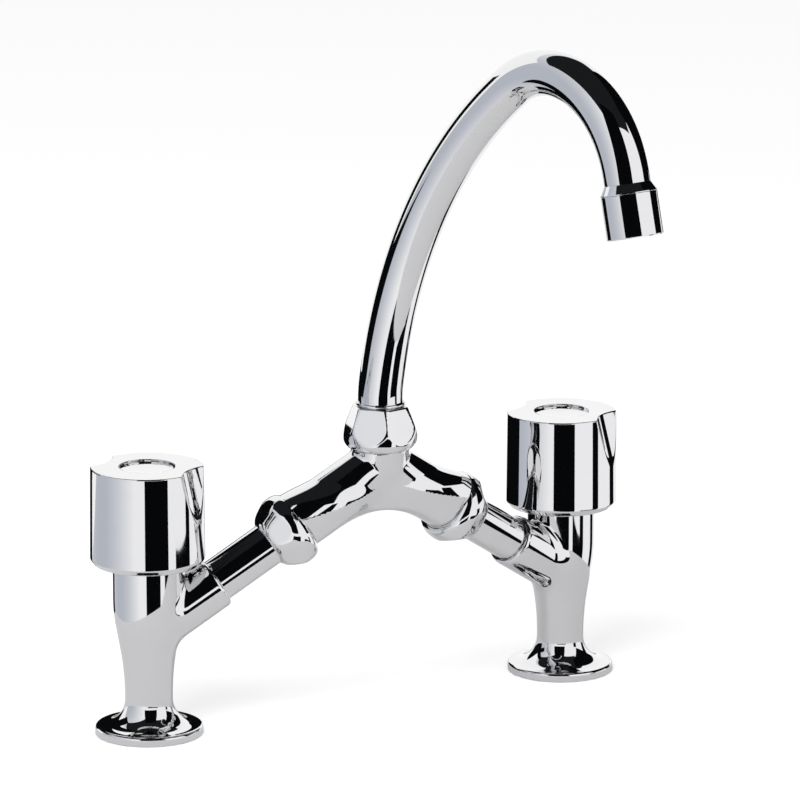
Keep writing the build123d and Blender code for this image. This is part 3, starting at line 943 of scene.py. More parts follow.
@dataclass(frozen=True)
class TaperedNut:
    """Tapered six-sided nut with a rounded wide end, small end at z = 0."""

    bore_radius: float
    small_radius: float
    flat_radius: float
    flat_run: float
    shoulder: tuple[float, float]
    length: float = 18.3
    belly: tuple[float, float] = (15.85, 11.8)
    lip: tuple[float, float] = (15.6, 14.8)
    mouth_radius: float = 12.4
    web: float = 4.0
    thread_radius: float = 10.95
    crease: float = 0.45
    shoulder_edge: float = 0.7
    cell: float = 0.42
    box_beside: float = 1.3
    box_below: float = 1.1

    def belly_circle(self) -> tuple[float, float, float]:
        """Circle through the shoulder, the belly and the lip.

        Returns:
            Centre radius, centre height and radius.
        """
        points = np.array([self.shoulder, self.belly, self.lip])
        rows = np.column_stack([2 * points, np.ones(3)])
        centre_r, centre_z, rest = np.linalg.solve(rows, np.sum(points**2, axis=1))
        return centre_r, centre_z, math.sqrt(rest + centre_r**2 + centre_z**2)

    def lip_circle(self) -> tuple[float, float]:
        """Centre of the arc from the lip to the mouth."""
        start, end = np.array(self.lip), np.array((self.mouth_radius, self.length))
        chord = end - start
        reach = math.sqrt(self.lip_curve() ** 2 - chord @ chord / 4)
        inward = np.array((-chord[1], chord[0])) / np.linalg.norm(chord)
        return tuple((start + end) / 2 + inward * reach)

    def lip_curve(self) -> float:
        """Radius of the arc from the lip to the mouth."""
        return math.hypot(self.lip[0] - self.mouth_radius, self.length - self.lip[1])

    def skin(self) -> Skin:
        """The nut's skin about Z."""
        belly_r, belly_z, belly_curve = self.belly_circle()
        lip_r, lip_z = self.lip_circle()
        slope = (self.shoulder[0] - self.small_radius) / self.shoulder[1]
        flat_slope = (self.belly[0] - self.flat_radius) / self.flat_run

        def distance(points: Points) -> np.ndarray:
            """Distance to the nut."""
            radius, height = lathe_spots(points)
            cone = (radius - self.small_radius - slope * height) / math.hypot(1.0, slope)
            belly = np.hypot(radius - belly_r, height - belly_z) - belly_curve
            lip = np.hypot(np.maximum(radius - lip_r, 0.0), height - lip_z) - self.lip_curve()
            lip = np.where(height < self.lip[1], belly, lip)
            flats = hexagon(points[:, 0], points[:, 1], self.flat_radius + flat_slope * height)
            flats = flats / math.hypot(1.0, flat_slope)
            body = soft_cut(cone, np.maximum(belly, lip), self.shoulder_edge)
            body = soft_cut(body, flats, self.crease)
            body = soft_cut(body, -height, self.crease)
            body = np.maximum(body, height - self.length)
            bore = disc(radius, height, self.bore_radius, -CUT_PAST, self.web + OVERLAP)
            thread = disc(radius, height, self.thread_radius, self.web, self.length + CUT_PAST)
            return soft_cut(body, -np.minimum(bore, thread), ROOM_EDGE)

        reach = self.belly[0] + self.box_beside
        low = (-reach, -reach, -self.box_below)
        high = (reach, reach, self.length + self.box_beside)
        return field_skin(distance, low, high, self.cell)


# The union nuts close down on the tails; the spout's nut is the same with a wider small end.
UNION_NUT = TaperedNut(bore_radius=9.35, small_radius=10.5, flat_radius=9.8, flat_run=12.4,
                       shoulder=(15.5, 9.4))
SPOUT_NUT = TaperedNut(bore_radius=9.6, small_radius=12.0, flat_radius=10.6, flat_run=15.2,
                       shoulder=(15.5, 7.8))


@dataclass
class Bridge:
    """Slanted arms and upright boss, with the tails and the nuts that hold them.

    The middle gets slimmer from front to back on its way down, and the web under the arms
    is a wide fillet that fades out upwards.
    """

    layout: Layout
    nut: TaperedNut = UNION_NUT
    nut_turns: tuple[float, float] = (2.5, 14.0)
    nut_station: float = 59.95
    arm_radius: float = 11.8
    arm_start: float = 68.0
    arm_edge: float = 0.8
    thread_radius: float = 10.9
    thread_gap: float = 0.05
    bore_radius: float = 6.5
    bore_end_gap: float = 2.0
    middle_taper: float = 0.03
    taper_reach: float = 12.0
    web_fillet: float = 38.0
    web_above: float = 2.0
    web_fade: float = 14.0
    boss_radius: float = 12.3
    boss_top: float = 115.5
    boss_edge: float = 0.5
    boss_fillet: float = 3.0
    ball_height: float = 108.0
    chamber_radius: float = 5.0
    chamber_bottom: float = 100.0
    spout_bore_radius: float = 9.0
    spout_bore_bottom: float = 112.0
    spigot_top: float = 126.4
    tail_radius: float = 9.25
    tail_start: float = 21.3
    tail_flange_station: float = 64.0
    tail_flange_radius: float = 10.8
    tail_end: float = 66.5
    tail_edge: float = 0.2
    tail_ring_station: float = 29.0
    tail_groove_width: float = 2.2
    tail_groove_floor: float = 7.75
    waterway_radius: float = 6.0
    cell: float = 0.6
    box_low: Spot = (-54.0, -15.0, 68.0)
    box_high: Spot = (54.0, 26.0, 127.7)

    @property
    def middle(self) -> np.ndarray:
        """Foot of the spout's axis in the part's frame."""
        return np.array((0.0, -self.layout.bridge_forward, 0.0))

    @property
    def arm_length(self) -> float:
        """Distance along an arm from its pillar to the spout's axis."""
        return self.layout.plan_length * math.hypot(1.0, self.layout.arm_rise)

    @property
    def thread_end(self) -> float:
        """Station along an arm where its thread ends, just past the nut."""
        return self.nut_station + self.nut.length + self.thread_gap

    def about_arms(self, points: Points) -> list[tuple[np.ndarray, np.ndarray, Points]]:
        """Places points round both arms.

        Args:
            points: Points in the part's frame.

        Returns:
            Per arm, the radius, the station and the outward direction of each point.
        """
        found = []
        for side in Side:
            frame = np.array(self.layout.arm_place(side).inverted())
            local = points @ frame[:3, :3].T + frame[:3, 3]
            around = np.hypot(local[:, 0], local[:, 1])
            outward = local[:, :2] @ frame[:2, :3] / np.maximum(around, LEAST_LENGTH)[:, None]
            found.append((around, local[:, 2], outward))
        return found

    def slimmed(self, points: Points) -> Points:
        """Moves points away from the middle's own plane, which makes what they sample slimmer.

        Args:
            points: Points about the spout's axis.

        Returns:
            The points, further to the front or the back the lower they are.
        """
        share = np.exp(-(points[:, 0] / self.taper_reach) ** 2)
        moved = points.copy()
        moved[:, 1] *= 1.0 + self.middle_taper * share * np.maximum(self.boss_top - points[:, 2], 0.0)
        return moved

    def arm(self, around: np.ndarray, along: np.ndarray) -> np.ndarray:
        """Distance to the outside of one arm, from its thread to the spout's axis."""
        start = soft_cut(around - self.arm_radius, self.thread_end - along, self.arm_edge)
        return np.maximum(start, along - self.arm_length)

    def arms(self, points: Points) -> tuple[np.ndarray, Points]:
        """Distance to both arms with the web under them.

        Args:
            points: Points in the part's frame.

        Returns:
            The distances, and the outward direction of the nearer arm.
        """
        (left, left_along, left_out), (right, right_along, right_out) = self.about_arms(points)
        left, right = self.arm(left, left_along), self.arm(right, right_along)
        fade = (self.layout.meeting_height + self.web_above - points[:, 2]) / self.web_fade
        fade = np.clip(fade, 0.0, 1.0)
        below = fade * fade * (3.0 - 2.0 * fade)
        joined = fillet_union(left, right, left_out, right_out, self.web_fillet * below)
        return joined, np.where((left < right)[:, None], left_out, right_out)

    def outside(self, points: Points) -> np.ndarray:
        """Distance to the cast outside, without its threads."""
        height = points[:, 2]
        slim = self.slimmed(points - self.middle)
        arms, arm_out = self.arms(slim + self.middle)
        girth = np.hypot(slim[:, 0], slim[:, 1])
        ball = np.hypot(girth, height - self.ball_height) - self.boss_radius
        bar = disc(girth, height, self.boss_radius, self.ball_height, self.boss_top + OVERLAP)
        boss_out = np.column_stack((slim[:, :2], np.minimum(height - self.ball_height, 0.0)))
        boss_out /= np.maximum(np.linalg.norm(boss_out, axis=1), LEAST_LENGTH)[:, None]
        solid = fillet_union(arms, np.minimum(ball, bar), arm_out, boss_out, self.boss_fillet)
        return soft_cut(solid, height - self.boss_top, self.boss_edge)

    def threads_and_rooms(self, points: Points) -> tuple[np.ndarray, np.ndarray]:
        """Distances to the three threaded ends and to the rooms inside the body.

        Args:
            points: Points in the part's frame.

        Returns:
            Distances to the nearest thread and to the nearest room.
        """
        radius, height = lathe_spots(points, self.middle[1])
        threads = [disc(radius, height, self.thread_radius, self.boss_top - OVERLAP, self.spigot_top)]
        chamber_top = self.spout_bore_bottom + OVERLAP
        spigot_past = self.spigot_top + CUT_PAST
        rooms = [
            disc(radius, height, self.chamber_radius, self.chamber_bottom, chamber_top),
            disc(radius, height, self.spout_bore_radius, self.spout_bore_bottom, spigot_past),
        ]
        thread_inside = self.thread_end + OVERLAP
        bore_start, bore_end = self.arm_start - CUT_PAST, self.arm_length - self.bore_end_gap
        for around, along, _ in self.about_arms(points):
            threads.append(disc(around, along, self.thread_radius, self.arm_start, thread_inside))
            rooms.append(disc(around, along, self.bore_radius, bore_start, bore_end))
        return np.min(threads, axis=0), np.min(rooms, axis=0)

    def body_skin(self) -> Skin:
        """The bridge body's skin in the part's frame."""
        def distance(points: Points) -> np.ndarray:
            """Distance to the bridge body."""
            threads, rooms = self.threads_and_rooms(points)
            return soft_cut(np.minimum(self.outside(points), threads), -rooms, ROOM_EDGE)

        low, high = self.middle + self.box_low, self.middle + self.box_high
        return field_skin(distance, low, high, self.cell)

    def tail_skin(self) -> Skin:
        """Skin of one tail along Z."""
        groove = self.tail_groove_width / 2
        return turned(eased([
            (self.waterway_radius, self.tail_start),
            (self.tail_radius, self.tail_start),
            (self.tail_radius, self.tail_ring_station - groove),
            (self.tail_groove_floor, self.tail_ring_station - groove),
            (self.tail_groove_floor, self.tail_ring_station + groove),
            (self.tail_radius, self.tail_ring_station + groove),
            (self.tail_radius, self.tail_flange_station),
            (self.tail_flange_radius, self.tail_flange_station),
            (self.tail_flange_radius, self.tail_end),
            (self.waterway_radius, self.tail_end),
        ], self.tail_edge))

    def build(self, bench: Bench) -> None:
        """Makes the bridge and what is screwed to it.

        Args:
            bench: What the sub-assemblies share.
        """
        bench.plate("bridge_casting", self.body_skin(), "base", "bridge_body")
        tail, nut = self.tail_skin(), self.nut.skin()
        for side, turn in zip(Side, self.nut_turns):
            place = self.layout.arm_place(side)
            bench.plate(f"tail_tube_{side.label}", tail.moved(place), "base", f"tail_{side.label}")
            at_nut = place @ Matrix.Translation((0.0, 0.0, self.nut_station))
            turned_nut = nut.moved(at_nut @ Matrix.Rotation(math.radians(turn), 4, "Z"))
            bench.plate(f"tapered_nut_{side.label}", turned_nut, "base", f"union_nut_{side.label}")


@dataclass
class Spout:
    """Swan-neck tube with its nut, slip ring, flared nozzle, sleeve and screen."""

    layout: Layout
    nut: TaperedNut = SPOUT_NUT
    nut_turn: float = -12.0
    nut_top: float = 133.85
    tube_radius: float = 9.49
    tube_wall: float = 1.5
    tube_bottom: float = 129.7
    curve_start: float = 136.5
    bends: tuple[tuple[float, float], ...] = ((40.0, 9.8), (220.3, 43.8), (45.7, 112.4))
    end_straight: float = 3.0
    step: float = 1.4
    foot_steps: int = 4
    ring_radius: float = 10.5
    ring_width: float = 1.4
    ring_edge: float = 0.4
    ring_steps: int = 10
    ring_gap: float = 0.3
    ring_bore_gap: float = 0.06
    spigot_length: float = 3.0
    spigot_radius: float = 7.95
    flare_length: float = 4.0
    nozzle_bore: float = 6.8
    nozzle_edge: float = 0.15
    thread_radius: float = 10.5
    thread_length: float = 5.5
    sleeve_radius: float = 11.6
    sleeve_length: float = 17.5
    sleeve_bore: float = 10.25
    sleeve_lip_radius: float = 9.2
    sleeve_lip: float = 1.4
    sleeve_edge: float = 0.18
    edge: float = 0.4
    joint_gap: float = 0.05
    weld_gap: float = 0.02
    screen_pitch: float = 1.0
    screen_wire: float = 0.32
    screen_gap: float = 0.1
    wire_sides: int = 6

    def route(self) -> tuple[list[Vector], Vector]:
        """Centre line of the tube in the spout's own frame.

        Returns:
            The points of the line, and its direction at the outlet.
        """
        here, heading = Vector((0.0, self.curve_start)), 0.0
        spots = [Vector((0.0, self.tube_bottom + share * (self.curve_start - self.tube_bottom)))
                 for share in np.arange(self.foot_steps) / self.foot_steps]
        for radius, degrees in self.bends:
            turn = math.radians(degrees)
            centre = here + radius * Vector((math.cos(heading), -math.sin(heading)))
            count = round(radius * turn / self.step)
            for index in range(count):
                angle = heading + turn * index / count
                spots.append(centre + radius * Vector((-math.cos(angle), math.sin(angle))))
            heading += turn
            here = centre + radius * Vector((-math.cos(heading), math.sin(heading)))
        along = Vector((math.sin(heading), math.cos(heading)))
        spots += [here + along * self.end_straight * share for share in (0.0, 0.5, 1.0)]
        return [Vector((spot.x, 0.0, spot.y)) for spot in spots], Vector((along.x, 0.0, along.y))

    def outlet_place(self) -> Matrix:
        """Frame at the end of the tube with Z along the flow."""
        spots, along = self.route()
        across = Vector((0.0, 1.0, 0.0))
        turn = Matrix((across, along.cross(across), along)).transposed().to_4x4()
        return self.layout.spout_place() @ Matrix.Translation(spots[-1]) @ turn

    def tube_tree(self, material: bpy.types.Material) -> bpy.types.NodeTree:
        """Node tree that gives a route its outer wall, inner wall and closed ends.

        Args:
            material: Finish of the tube.

        Returns:
            The tree, with named inputs for radius, wall and steps round the tube.
        """
        tree = growing_tree("swan_neck_tube", {
            "Radius": "NodeSocketFloat",
            "Wall": "NodeSocketFloat",
            "Steps": "NodeSocketInt",
        })
        source = add_node(tree, "NodeGroupInput").outputs
        inner = add_node(tree, "ShaderNodeMath", {"operation": "SUBTRACT"},
                         {0: source["Radius"], 1: source["Wall"]}).outputs[0]
        place = add_node(tree, "GeometryNodeInputPosition").outputs[0]
        route = add_node(tree, "GeometryNodeCaptureAttribute", {"domain": "POINT"})
        route.capture_items.new("VECTOR", "Middle")
        tree.links.new(source["Geometry"], route.inputs[0])
        tree.links.new(place, route.inputs[1])
        walls = []
        for radius in (source["Radius"], inner):
            circle = add_node(tree, "GeometryNodeCurvePrimitiveCircle",
                              inputs={"Resolution": source["Steps"], "Radius": radius})
            walls.append(add_node(tree, "GeometryNodeCurveToMesh",
                                  inputs={0: route.outputs[0], 1: circle.outputs[0]}).outputs[0])
        sharing = add_node(tree, "GeometryNodeInputMeshEdgeNeighbors").outputs[0]
        rim = add_node(tree, "FunctionNodeCompare", {"data_type": "INT", "operation": "EQUAL"},
                       {2: sharing, 3: 1}).outputs[0]
        inward = add_node(tree, "ShaderNodeVectorMath", {"operation": "SUBTRACT"},
                          {0: route.outputs[1], 1: place}).outputs[0]
        inward = add_node(tree, "ShaderNodeVectorMath", {"operation": "NORMALIZE"},
                          {0: inward}).outputs[0]
        ends = add_node(tree, "GeometryNodeExtrudeMesh", {"mode": "EDGES"},
                        {0: walls[0], 1: rim, 2: inward, 3: source["Wall"]}).outputs[0]
        flipped = add_node(tree, "GeometryNodeFlipFaces", inputs={0: walls[1]}).outputs[0]
        joined = add_node(tree, "GeometryNodeJoinGeometry")
        for part in (ends, flipped):
            tree.links.new(part, joined.inputs[0])
        welded = add_node(tree, "GeometryNodeMergeByDistance", inputs={
            "Geometry": joined.outputs[0],
            "Distance": self.weld_gap * MILLIMETRE,
        })
        end_tree(tree, welded.outputs[0], material)
        return tree

    @staticmethod
    def screen_sums(tree: bpy.types.NodeTree) -> dict[str, bpy.types.NodeSocket]:
        """Adds the sums that lay out crossed wires over a round mouth.

        Args:
            tree: Tree with inputs for radius, pitch and wire.

        Returns:
            Each sum's socket by its name.
        """
        source = add_node(tree, "NodeGroupInput").outputs
        place = add_node(tree, "GeometryNodeInputPosition").outputs[0]
        offset = add_node(tree, "ShaderNodeSeparateXYZ", inputs={0: place}).outputs[0]
        sums = {"radius": source["Radius"], "pitch": source["Pitch"], "wire": source["Wire"],
                "offset": offset}
        for name, operation, *terms in (
            ("pitches", "DIVIDE", "radius", "pitch"),
            ("count", "FLOOR", "pitches"),
            ("reach", "MULTIPLY", "count", "pitch"),
            ("total", "MULTIPLY_ADD", "count", 2.0, 1.0),
            ("low", "MULTIPLY", "reach", -1.0),
            ("half", "MULTIPLY", "wire", 0.5),
            ("offset_square", "MULTIPLY", "offset", "offset"),
            ("radius_square", "MULTIPLY", "radius", "radius"),
            ("chord_square", "SUBTRACT", "radius_square", "offset_square"),
            ("chord", "SQRT", "chord_square"),
        ):
            feeds = {number: sums.get(term, term) for number, term in enumerate(terms)}
            sums[name] = add_node(tree, "ShaderNodeMath", {"operation": operation}, feeds).outputs[0]
        for name, *terms in (
            ("start", "low", 0.0, 0.0),
            ("gap", "pitch", 0.0, 0.0),
            ("size", "half", "half", "chord"),
            ("above", 0.0, 0.0, "wire"),
        ):
            feeds = {number: sums.get(term, term) for number, term in enumerate(terms)}
            sums[name] = add_node(tree, "ShaderNodeCombineXYZ", inputs=feeds).outputs[0]
        return sums

    def screen_tree(self, material: bpy.types.Material) -> bpy.types.NodeTree:
        """Node tree that lays crossed wires over a round mouth.

        Args:
            material: Finish of the wires.

        Returns:
            The tree, with named inputs for radius, pitch and wire.
        """
        sizes = ("Radius", "Pitch", "Wire")
        tree = growing_tree("mouth_screen", dict.fromkeys(sizes, "NodeSocketFloat"))
        sums = self.screen_sums(tree)
        row = add_node(tree, "GeometryNodeMeshLine", {"mode": "OFFSET"},
                       {"Count": sums["total"], "Start Location": sums["start"],
                        "Offset": sums["gap"]}).outputs[0]
        # The wire is one unit long to each side, and its scale gives it the chord of the mouth.
        wire = add_node(tree, "GeometryNodeMeshCylinder",
                        inputs={"Vertices": self.wire_sides, "Depth": 2.0}).outputs[0]
        layer = add_node(tree, "GeometryNodeInstanceOnPoints", inputs={
            "Points": row,
            "Instance": wire,
            "Rotation": (math.pi / 2, 0.0, 0.0),
            "Scale": sums["size"],
        }).outputs[0]
        crossed = add_node(tree, "GeometryNodeTransform", inputs={
            "Geometry": layer,
            "Translation": sums["above"],
            "Rotation": (0.0, 0.0, math.pi / 2),
        }).outputs[0]
        joined = add_node(tree, "GeometryNodeJoinGeometry")
        for part in (layer, crossed):
            tree.links.new(part, joined.inputs[0])
        end_tree(tree, joined.outputs[0], material)
        return tree

    @staticmethod
    def grown(name: str, start: bpy.types.ID, tree: bpy.types.NodeTree, values: dict[str, float],
              place: Matrix) -> bpy.types.Object:
        """Runs a node tree on some data and keeps its result as a plain mesh.

        Args:
            name: Name of the object that is made.
            start: Curve or mesh data that the tree works on, in metres.
            tree: The node tree.
            values: The tree's named inputs.
            place: Where the result goes, with its translation in millimetres.

        Returns:
            An object at the origin with the result as its mesh.
        """
        carrier = shown(name + "_route", start)
        modifier = carrier.modifiers.new(name, "NODES")
        modifier.node_group = tree
        for item in tree.interface.items_tree:
            if item.in_out == "INPUT" and item.name in values:
                modifier[item.identifier] = values[item.name]
        graph = bpy.context.evaluated_depsgraph_get()
        mesh = bpy.data.meshes.new_from_object(carrier.evaluated_get(graph), depsgraph=graph)
        carrier.modifiers.clear()
        bpy.data.objects.remove(carrier)
        shift = Matrix.Translation(place.translation * MILLIMETRE) @ place.to_3x3().to_4x4()
        mesh.transform(shift)
        mesh.name = name
        mesh.shade_smooth()
        mesh.set_sharp_from_angle(angle=SMOOTH_TURN)
        return shown(name, mesh)

    def tube(self, material: bpy.types.Material) -> bpy.types.Object:
        """The swept tube in its place.

        Args:
            material: Finish of the tube.

        Returns:
            The tube's object.
        """
        spots, _ = self.route()
        line = bpy.data.curves.new("swan_neck_route", "CURVE")
        line.dimensions = "3D"
        spline = line.splines.new("POLY")
        spline.points.add(len(spots) - 1)
        for point, spot in zip(spline.points, spots):
            point.co = (*(spot * MILLIMETRE), 1.0)
        values = {
            "Radius": self.tube_radius * MILLIMETRE,
            "Wall": self.tube_wall * MILLIMETRE,
            "Steps": FINE_STEPS,
        }
        return self.grown("swan_neck_tube", line, self.tube_tree(material), values,
                          self.layout.spout_place())

    def screen(self, material: bpy.types.Material) -> bpy.types.Object:
        """The wire screen in the mouth of the sleeve.

        Args:
            material: Finish of the wires.

        Returns:
            The screen's object.
        """
        lip = self.flare_length + self.joint_gap + self.sleeve_length - self.sleeve_lip
        seat = lip + self.screen_wire
        values = {
            "Radius": (self.sleeve_lip_radius - self.screen_gap) * MILLIMETRE,
            "Pitch": self.screen_pitch * MILLIMETRE,
            "Wire": self.screen_wire * MILLIMETRE,
        }
        start = bpy.data.meshes.new("mouth_screen_seat")
        place = self.outlet_place() @ Matrix.Translation((0.0, 0.0, seat))
        return self.grown("mouth_screen", start, self.screen_tree(material), values, place)

    def nozzle_skin(self) -> Skin:
        """Skin of the flared nozzle from the outlet plane."""
        tip = self.flare_length + self.thread_length
        return turned(eased([
            (self.nozzle_bore, -self.spigot_length),
            (self.spigot_radius, -self.spigot_length),
            (self.spigot_radius, 0.0),
            (self.tube_radius, 0.0),
            (self.sleeve_radius, self.flare_length - self.edge),
            (self.sleeve_radius, self.flare_length),
            (self.thread_radius, self.flare_length),
            (self.thread_radius, tip),
            (self.nozzle_bore, tip),
        ], self.nozzle_edge))

    def sleeve_skin(self) -> Skin:
        """Skin of the sleeve from the outlet plane."""
        start = self.flare_length + self.joint_gap
        end = start + self.sleeve_length
        thread_end = self.flare_length + self.thread_length
        return turned(eased([
            (self.thread_radius + self.joint_gap, start),
            (self.sleeve_radius, start),
            (self.sleeve_radius, end - self.edge),
            (self.sleeve_radius - self.edge, end),
            (self.sleeve_lip_radius, end),
            (self.sleeve_lip_radius, end - self.sleeve_lip),
            (self.sleeve_bore, end - self.sleeve_lip),
            (self.sleeve_bore, thread_end),
            (self.thread_radius + self.joint_gap, thread_end),
        ], self.sleeve_edge))

    def ring_skin(self) -> Skin:
        """Skin of the slip ring from z = 0."""
        half = self.ring_width / 2
        curve = (half**2 + self.ring_edge**2) / (2 * self.ring_edge)
        opening = math.degrees(math.asin(half / curve))
        bore_radius = self.tube_radius + self.ring_bore_gap
        return turned([
            (bore_radius, 0.0),
            *arc((self.ring_radius - curve, half), curve, -opening, opening, self.ring_steps),
            (bore_radius, self.ring_width),
        ])

    def build(self, bench: Bench) -> None:
        """Makes the spout and the nut that holds it.

        Args:
            bench: What the sub-assemblies share.
        """
        centre = Matrix.Translation((0.0, -self.layout.bridge_forward, 0.0))
        over = centre @ Matrix.Translation((0.0, 0.0, self.nut_top)) @ Matrix.Rotation(math.pi, 4, "X")
        over = over @ Matrix.Rotation(math.radians(self.nut_turn), 4, "Z")
        bench.plate("tapered_nut_spout", self.nut.skin().moved(over), "base", "spout_nut")
        above = centre @ Matrix.Translation((0.0, 0.0, self.nut_top + self.ring_gap))
        outlet = self.outlet_place()
        bench.plate("neck_ring_spout", self.ring_skin().moved(above), "spout", "spout_slip_ring")
        bench.seat(self.tube(bench.finishes.chrome_plate), "spout", "chrome_plate", "spout_tube")
        bench.plate("flared_nozzle", self.nozzle_skin().moved(outlet), "spout", "spout_nozzle")
        bench.plate("aerator_sleeve", self.sleeve_skin().moved(outlet), "spout", "aerator_housing")
        bench.seat(self.screen(bench.finishes.stainless_steel), "spout", "stainless_steel")


# What the studio's dark cards are made of: black and near-black paper.
BLACK_CARD = "#08090b"
DARK_CARD = "#0a0b0d"


@dataclass
class Panel:
    """One flat card of the studio that only mirrors see."""

    name: str
    centre: Spot
    width: float
    height: float
    colour: str
    strength: float = 1.0
    overhead: bool = False

    def build(self) -> None:
        """Makes the card in metres, upright and facing the tap, or level if it is overhead."""
        middle = Vector(self.centre) * MILLIMETRE
        facing = Matrix.Identity(4)
        if not self.overhead:
            facing = Vector((-middle.x, -middle.y, 0.0)).to_track_quat("Z", "Y").to_matrix().to_4x4()
        place = Matrix.Translation(middle) @ facing
        half_width, half_height = self.width / 2 * MILLIMETRE, self.height / 2 * MILLIMETRE
        corners = [place @ Vector((x * half_width, y * half_height, 0.0)) for x, y in SQUARE]
        mesh = bpy.data.meshes.new(self.name)
        mesh.from_pydata([corner[:] for corner in corners], [], [(0, 1, 2, 3)])
        material, tree = bare_material(self.name)
        glow = add_node(tree, "ShaderNodeEmission", inputs={
            "Color": linear_colour(self.colour),
            "Strength": self.strength,
        })
        add_node(tree, "ShaderNodeOutputMaterial", inputs={"Surface": glow.outputs[0]})
        mesh.materials.append(material)
        made = shown(self.name, mesh)
        made.visible_camera = False
        made.visible_diffuse = False
        made.visible_shadow = False
        made.visible_transmission = False


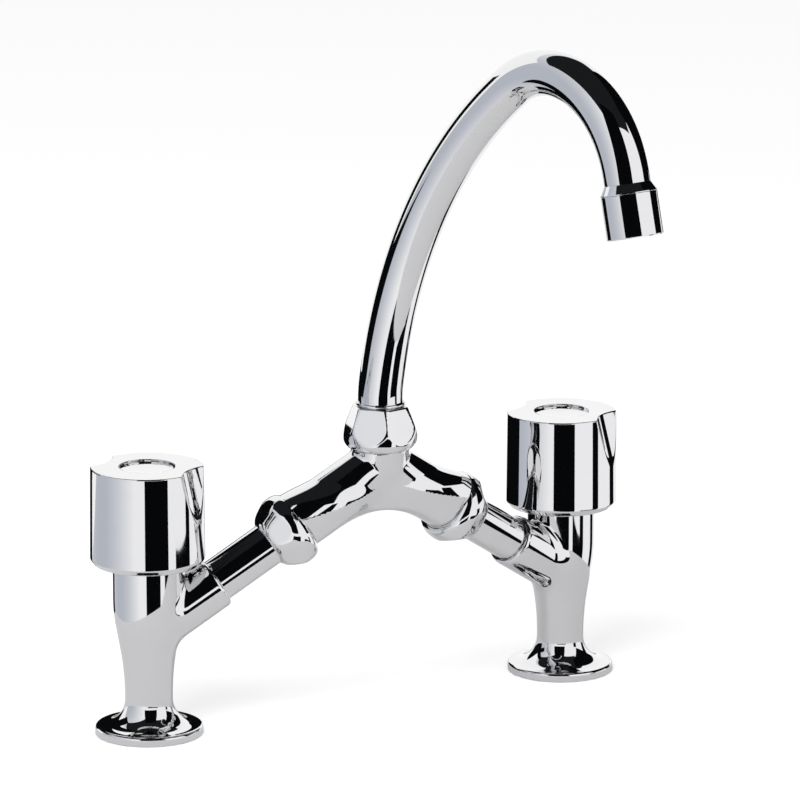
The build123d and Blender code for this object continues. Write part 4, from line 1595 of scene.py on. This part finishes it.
@dataclass
class Studio:
    """Pale floor, soft light, the dark and light cards round the tap, and the camera."""

    floor_colour: str = "#f4f4f5"
    floor_reach: float = 6.0
    floor_lift: float = 0.45
    table_radius: float = 0.22
    room_colours: tuple[str, str] = ("#f5f5f6", "#b9bdc6")
    room_heading: Spot = (-0.707, 0.707, 0.0)
    room_span: tuple[float, float] = (0.15, 0.95)
    room_strength: float = 1.15
    soft_strength: float = 0.5
    lamp_spot: Spot = (-0.9, -0.7, 1.5)
    lamp_aim: Spot = (0.0, 0.0, 0.1)
    lamp_size: float = 0.9
    lamp_power: float = 14.0
    lens: float = 298.95
    sensor_width: float = 36.0
    view_end: float = 50.0
    camera_spot: Spot = (-1.31537, -2.38638, 0.79134)
    camera_turn: Spot = (76.39, 0.0, -29.24)
    panels: tuple[Panel, ...] = (
        Panel("dark_front_low_panel", (-174.0, -581.0, -240.0), 510.0, 500.0, BLACK_CARD),
        Panel("dark_front_high_panel", (-268.0, -537.0, 650.0), 600.0, 1100.0, BLACK_CARD),
        Panel("dark_right_panel", (345.0, -260.0, -190.0), 90.0, 520.0, BLACK_CARD),
        Panel("dark_front_right_panel", (308.0, -394.0, -150.0), 315.0, 200.0, BLACK_CARD),
        Panel("dark_right_high_panel", (798.0, -49.0, 900.0), 1060.0, 1400.0, BLACK_CARD),
        Panel("dark_left_back_high_panel", (-104.0, 198.0, 199.0), 88.0, 262.0, DARK_CARD),
        Panel("dark_back_panel", (-21.0, 183.0, -170.0), 239.0, 560.0, DARK_CARD),
        Panel("dark_left_panel", (-180.0, 150.0, 125.0), 130.0, 90.0, DARK_CARD),
        Panel("dark_right_back_panel", (398.0, 35.0, 0.0), 100.0, 900.0, DARK_CARD),
        Panel("white_back_panel", (174.0, 985.0, 500.0), 2220.0, 1400.0, "#ffffff", strength=1.1),
        Panel("dark_overhead_panel", (0.0, -40.0, 1500.0), 2300.0, 2300.0, "#1d1e20", overhead=True),
    )

    def floor(self) -> None:
        """The floor: the camera sees all of it, and mirrors see a round table top."""
        mesh = bpy.data.meshes.new("studio_floor")
        corners = [(x * self.floor_reach, y * self.floor_reach, 0.0) for x, y in SQUARE]
        mesh.from_pydata(corners, [], [(0, 1, 2, 3)])
        material, tree = bare_material("matt_white_table")
        path = add_node(tree, "ShaderNodeLightPath").outputs
        matt = add_node(tree, "ShaderNodeBsdfDiffuse",
                        inputs={"Color": linear_colour(self.floor_colour)})
        clear = add_node(tree, "ShaderNodeBsdfTransparent")
        place = add_node(tree, "ShaderNodeTexCoord").outputs["Object"]
        reach = add_node(tree, "ShaderNodeVectorMath", {"operation": "LENGTH"},
                         {0: place}).outputs["Value"]
        beyond = add_node(tree, "ShaderNodeMath", {"operation": "GREATER_THAN"},
                          {0: reach, 1: self.table_radius}).outputs[0]
        gone = add_node(tree, "ShaderNodeMath", {"operation": "MULTIPLY"},
                        {0: beyond, 1: path["Is Glossy Ray"]}).outputs[0]
        lift = add_node(tree, "ShaderNodeMath", {"operation": "MULTIPLY"},
                        {0: path["Is Camera Ray"], 1: self.floor_lift}).outputs[0]
        glow = add_node(tree, "ShaderNodeEmission", inputs={"Color": WHITE, "Strength": lift})
        pale = add_node(tree, "ShaderNodeAddShader", inputs={0: matt.outputs[0], 1: glow.outputs[0]})
        top = add_node(tree, "ShaderNodeMixShader",
                       inputs={0: gone, 1: pale.outputs[0], 2: clear.outputs[0]})
        add_node(tree, "ShaderNodeOutputMaterial", inputs={"Surface": top.outputs[0]})
        mesh.materials.append(material)
        made = shown("studio_floor", mesh)

    def world(self) -> None:
        """White to the camera, soft white for light, and a room that greys to the back for mirrors."""
        world = bpy.data.worlds.new("soft_studio")
        bpy.context.scene.world = world
        world.use_nodes = True
        tree = world.node_tree
        tree.nodes.clear()
        path = add_node(tree, "ShaderNodeLightPath").outputs
        direction = add_node(tree, "ShaderNodeTexCoord").outputs["Generated"]
        toward = add_node(tree, "ShaderNodeVectorMath", {"operation": "DOT_PRODUCT"},
                          {0: direction, 1: self.room_heading}).outputs["Value"]
        share = add_node(tree, "ShaderNodeMapRange", inputs={
            "Value": toward,
            "From Min": self.room_span[0],
            "From Max": self.room_span[1],
        })
        room = add_node(tree, "ShaderNodeMix", {"data_type": "RGBA"}, {
            "Factor": share.outputs[0],
            6: linear_colour(self.room_colours[0]),
            7: linear_colour(self.room_colours[1]),
        }).outputs[2]
        mirrored, plain, behind = (
            add_node(tree, "ShaderNodeBackground", inputs={"Color": colour, "Strength": strength})
            for colour, strength in (
                (room, self.room_strength),
                (WHITE, self.soft_strength),
                (WHITE, 1.0),
            ))
        lit = add_node(tree, "ShaderNodeMixShader",
                       inputs={0: path["Is Glossy Ray"], 1: plain.outputs[0], 2: mirrored.outputs[0]})
        seen = add_node(tree, "ShaderNodeMixShader",
                        inputs={0: path["Is Camera Ray"], 1: lit.outputs[0], 2: behind.outputs[0]})
        add_node(tree, "ShaderNodeOutputWorld", inputs={"Surface": seen.outputs[0]})

    def lamp(self) -> None:
        """The square soft lamp that looks at the middle of the tap and that mirrors don't see."""
        light = bpy.data.lights.new("soft_key", "AREA")
        light.size = self.lamp_size
        light.energy = self.lamp_power
        made = shown("soft_key", light)
        place = Vector(self.lamp_spot)
        turn = (Vector(self.lamp_aim) - place).to_track_quat("-Z", "Y").to_matrix().to_4x4()
        made.matrix_world = Matrix.Translation(place) @ turn
        made.visible_glossy = False

    def camera(self) -> None:
        """The camera at the photograph's viewing angle."""
        lens = bpy.data.cameras.new("studio_camera")
        lens.lens = self.lens
        lens.sensor_width = self.sensor_width
        lens.clip_end = self.view_end
        made = shown("studio_camera", lens)
        made.location = self.camera_spot
        made.rotation_euler = [math.radians(angle) for angle in self.camera_turn]
        bpy.context.scene.camera = made

    def build(self) -> None:
        """Sets up everything that isn't the tap."""
        bpy.context.scene.view_settings.view_transform = "Standard"
        self.camera()
        self.floor()
        self.world()
        for panel in self.panels:
            panel.build()
        self.lamp()


def dress_inner_nodes(bench: Bench) -> None:
    """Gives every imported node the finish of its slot, which its packed material is named for.

    Args:
        bench: What the sub-assemblies share.
    """
    for node in bench.nodes.values():
        slot = node.data.materials[0].name
        node.data.materials.clear()
        node.data.materials.append(bench.finishes.for_slot(slot))


def main() -> None:
    logging.basicConfig(level=logging.INFO, format="%(message)s")
    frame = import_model()
    bench = Bench(frame["nodes"], FinishSet.build())
    dress_inner_nodes(bench)
    layout = Layout()
    Bridge(layout).build(bench)
    Spout(layout).build(bench)
    pillar, knob = Pillar(layout), Knob(layout)
    for side in Side:
        pillar.build(bench, side)
        knob.build(bench, side)
    Studio().build()
    LOG.info("%d pieces made", len(bench.made))


if __name__ == "__main__":
    main()
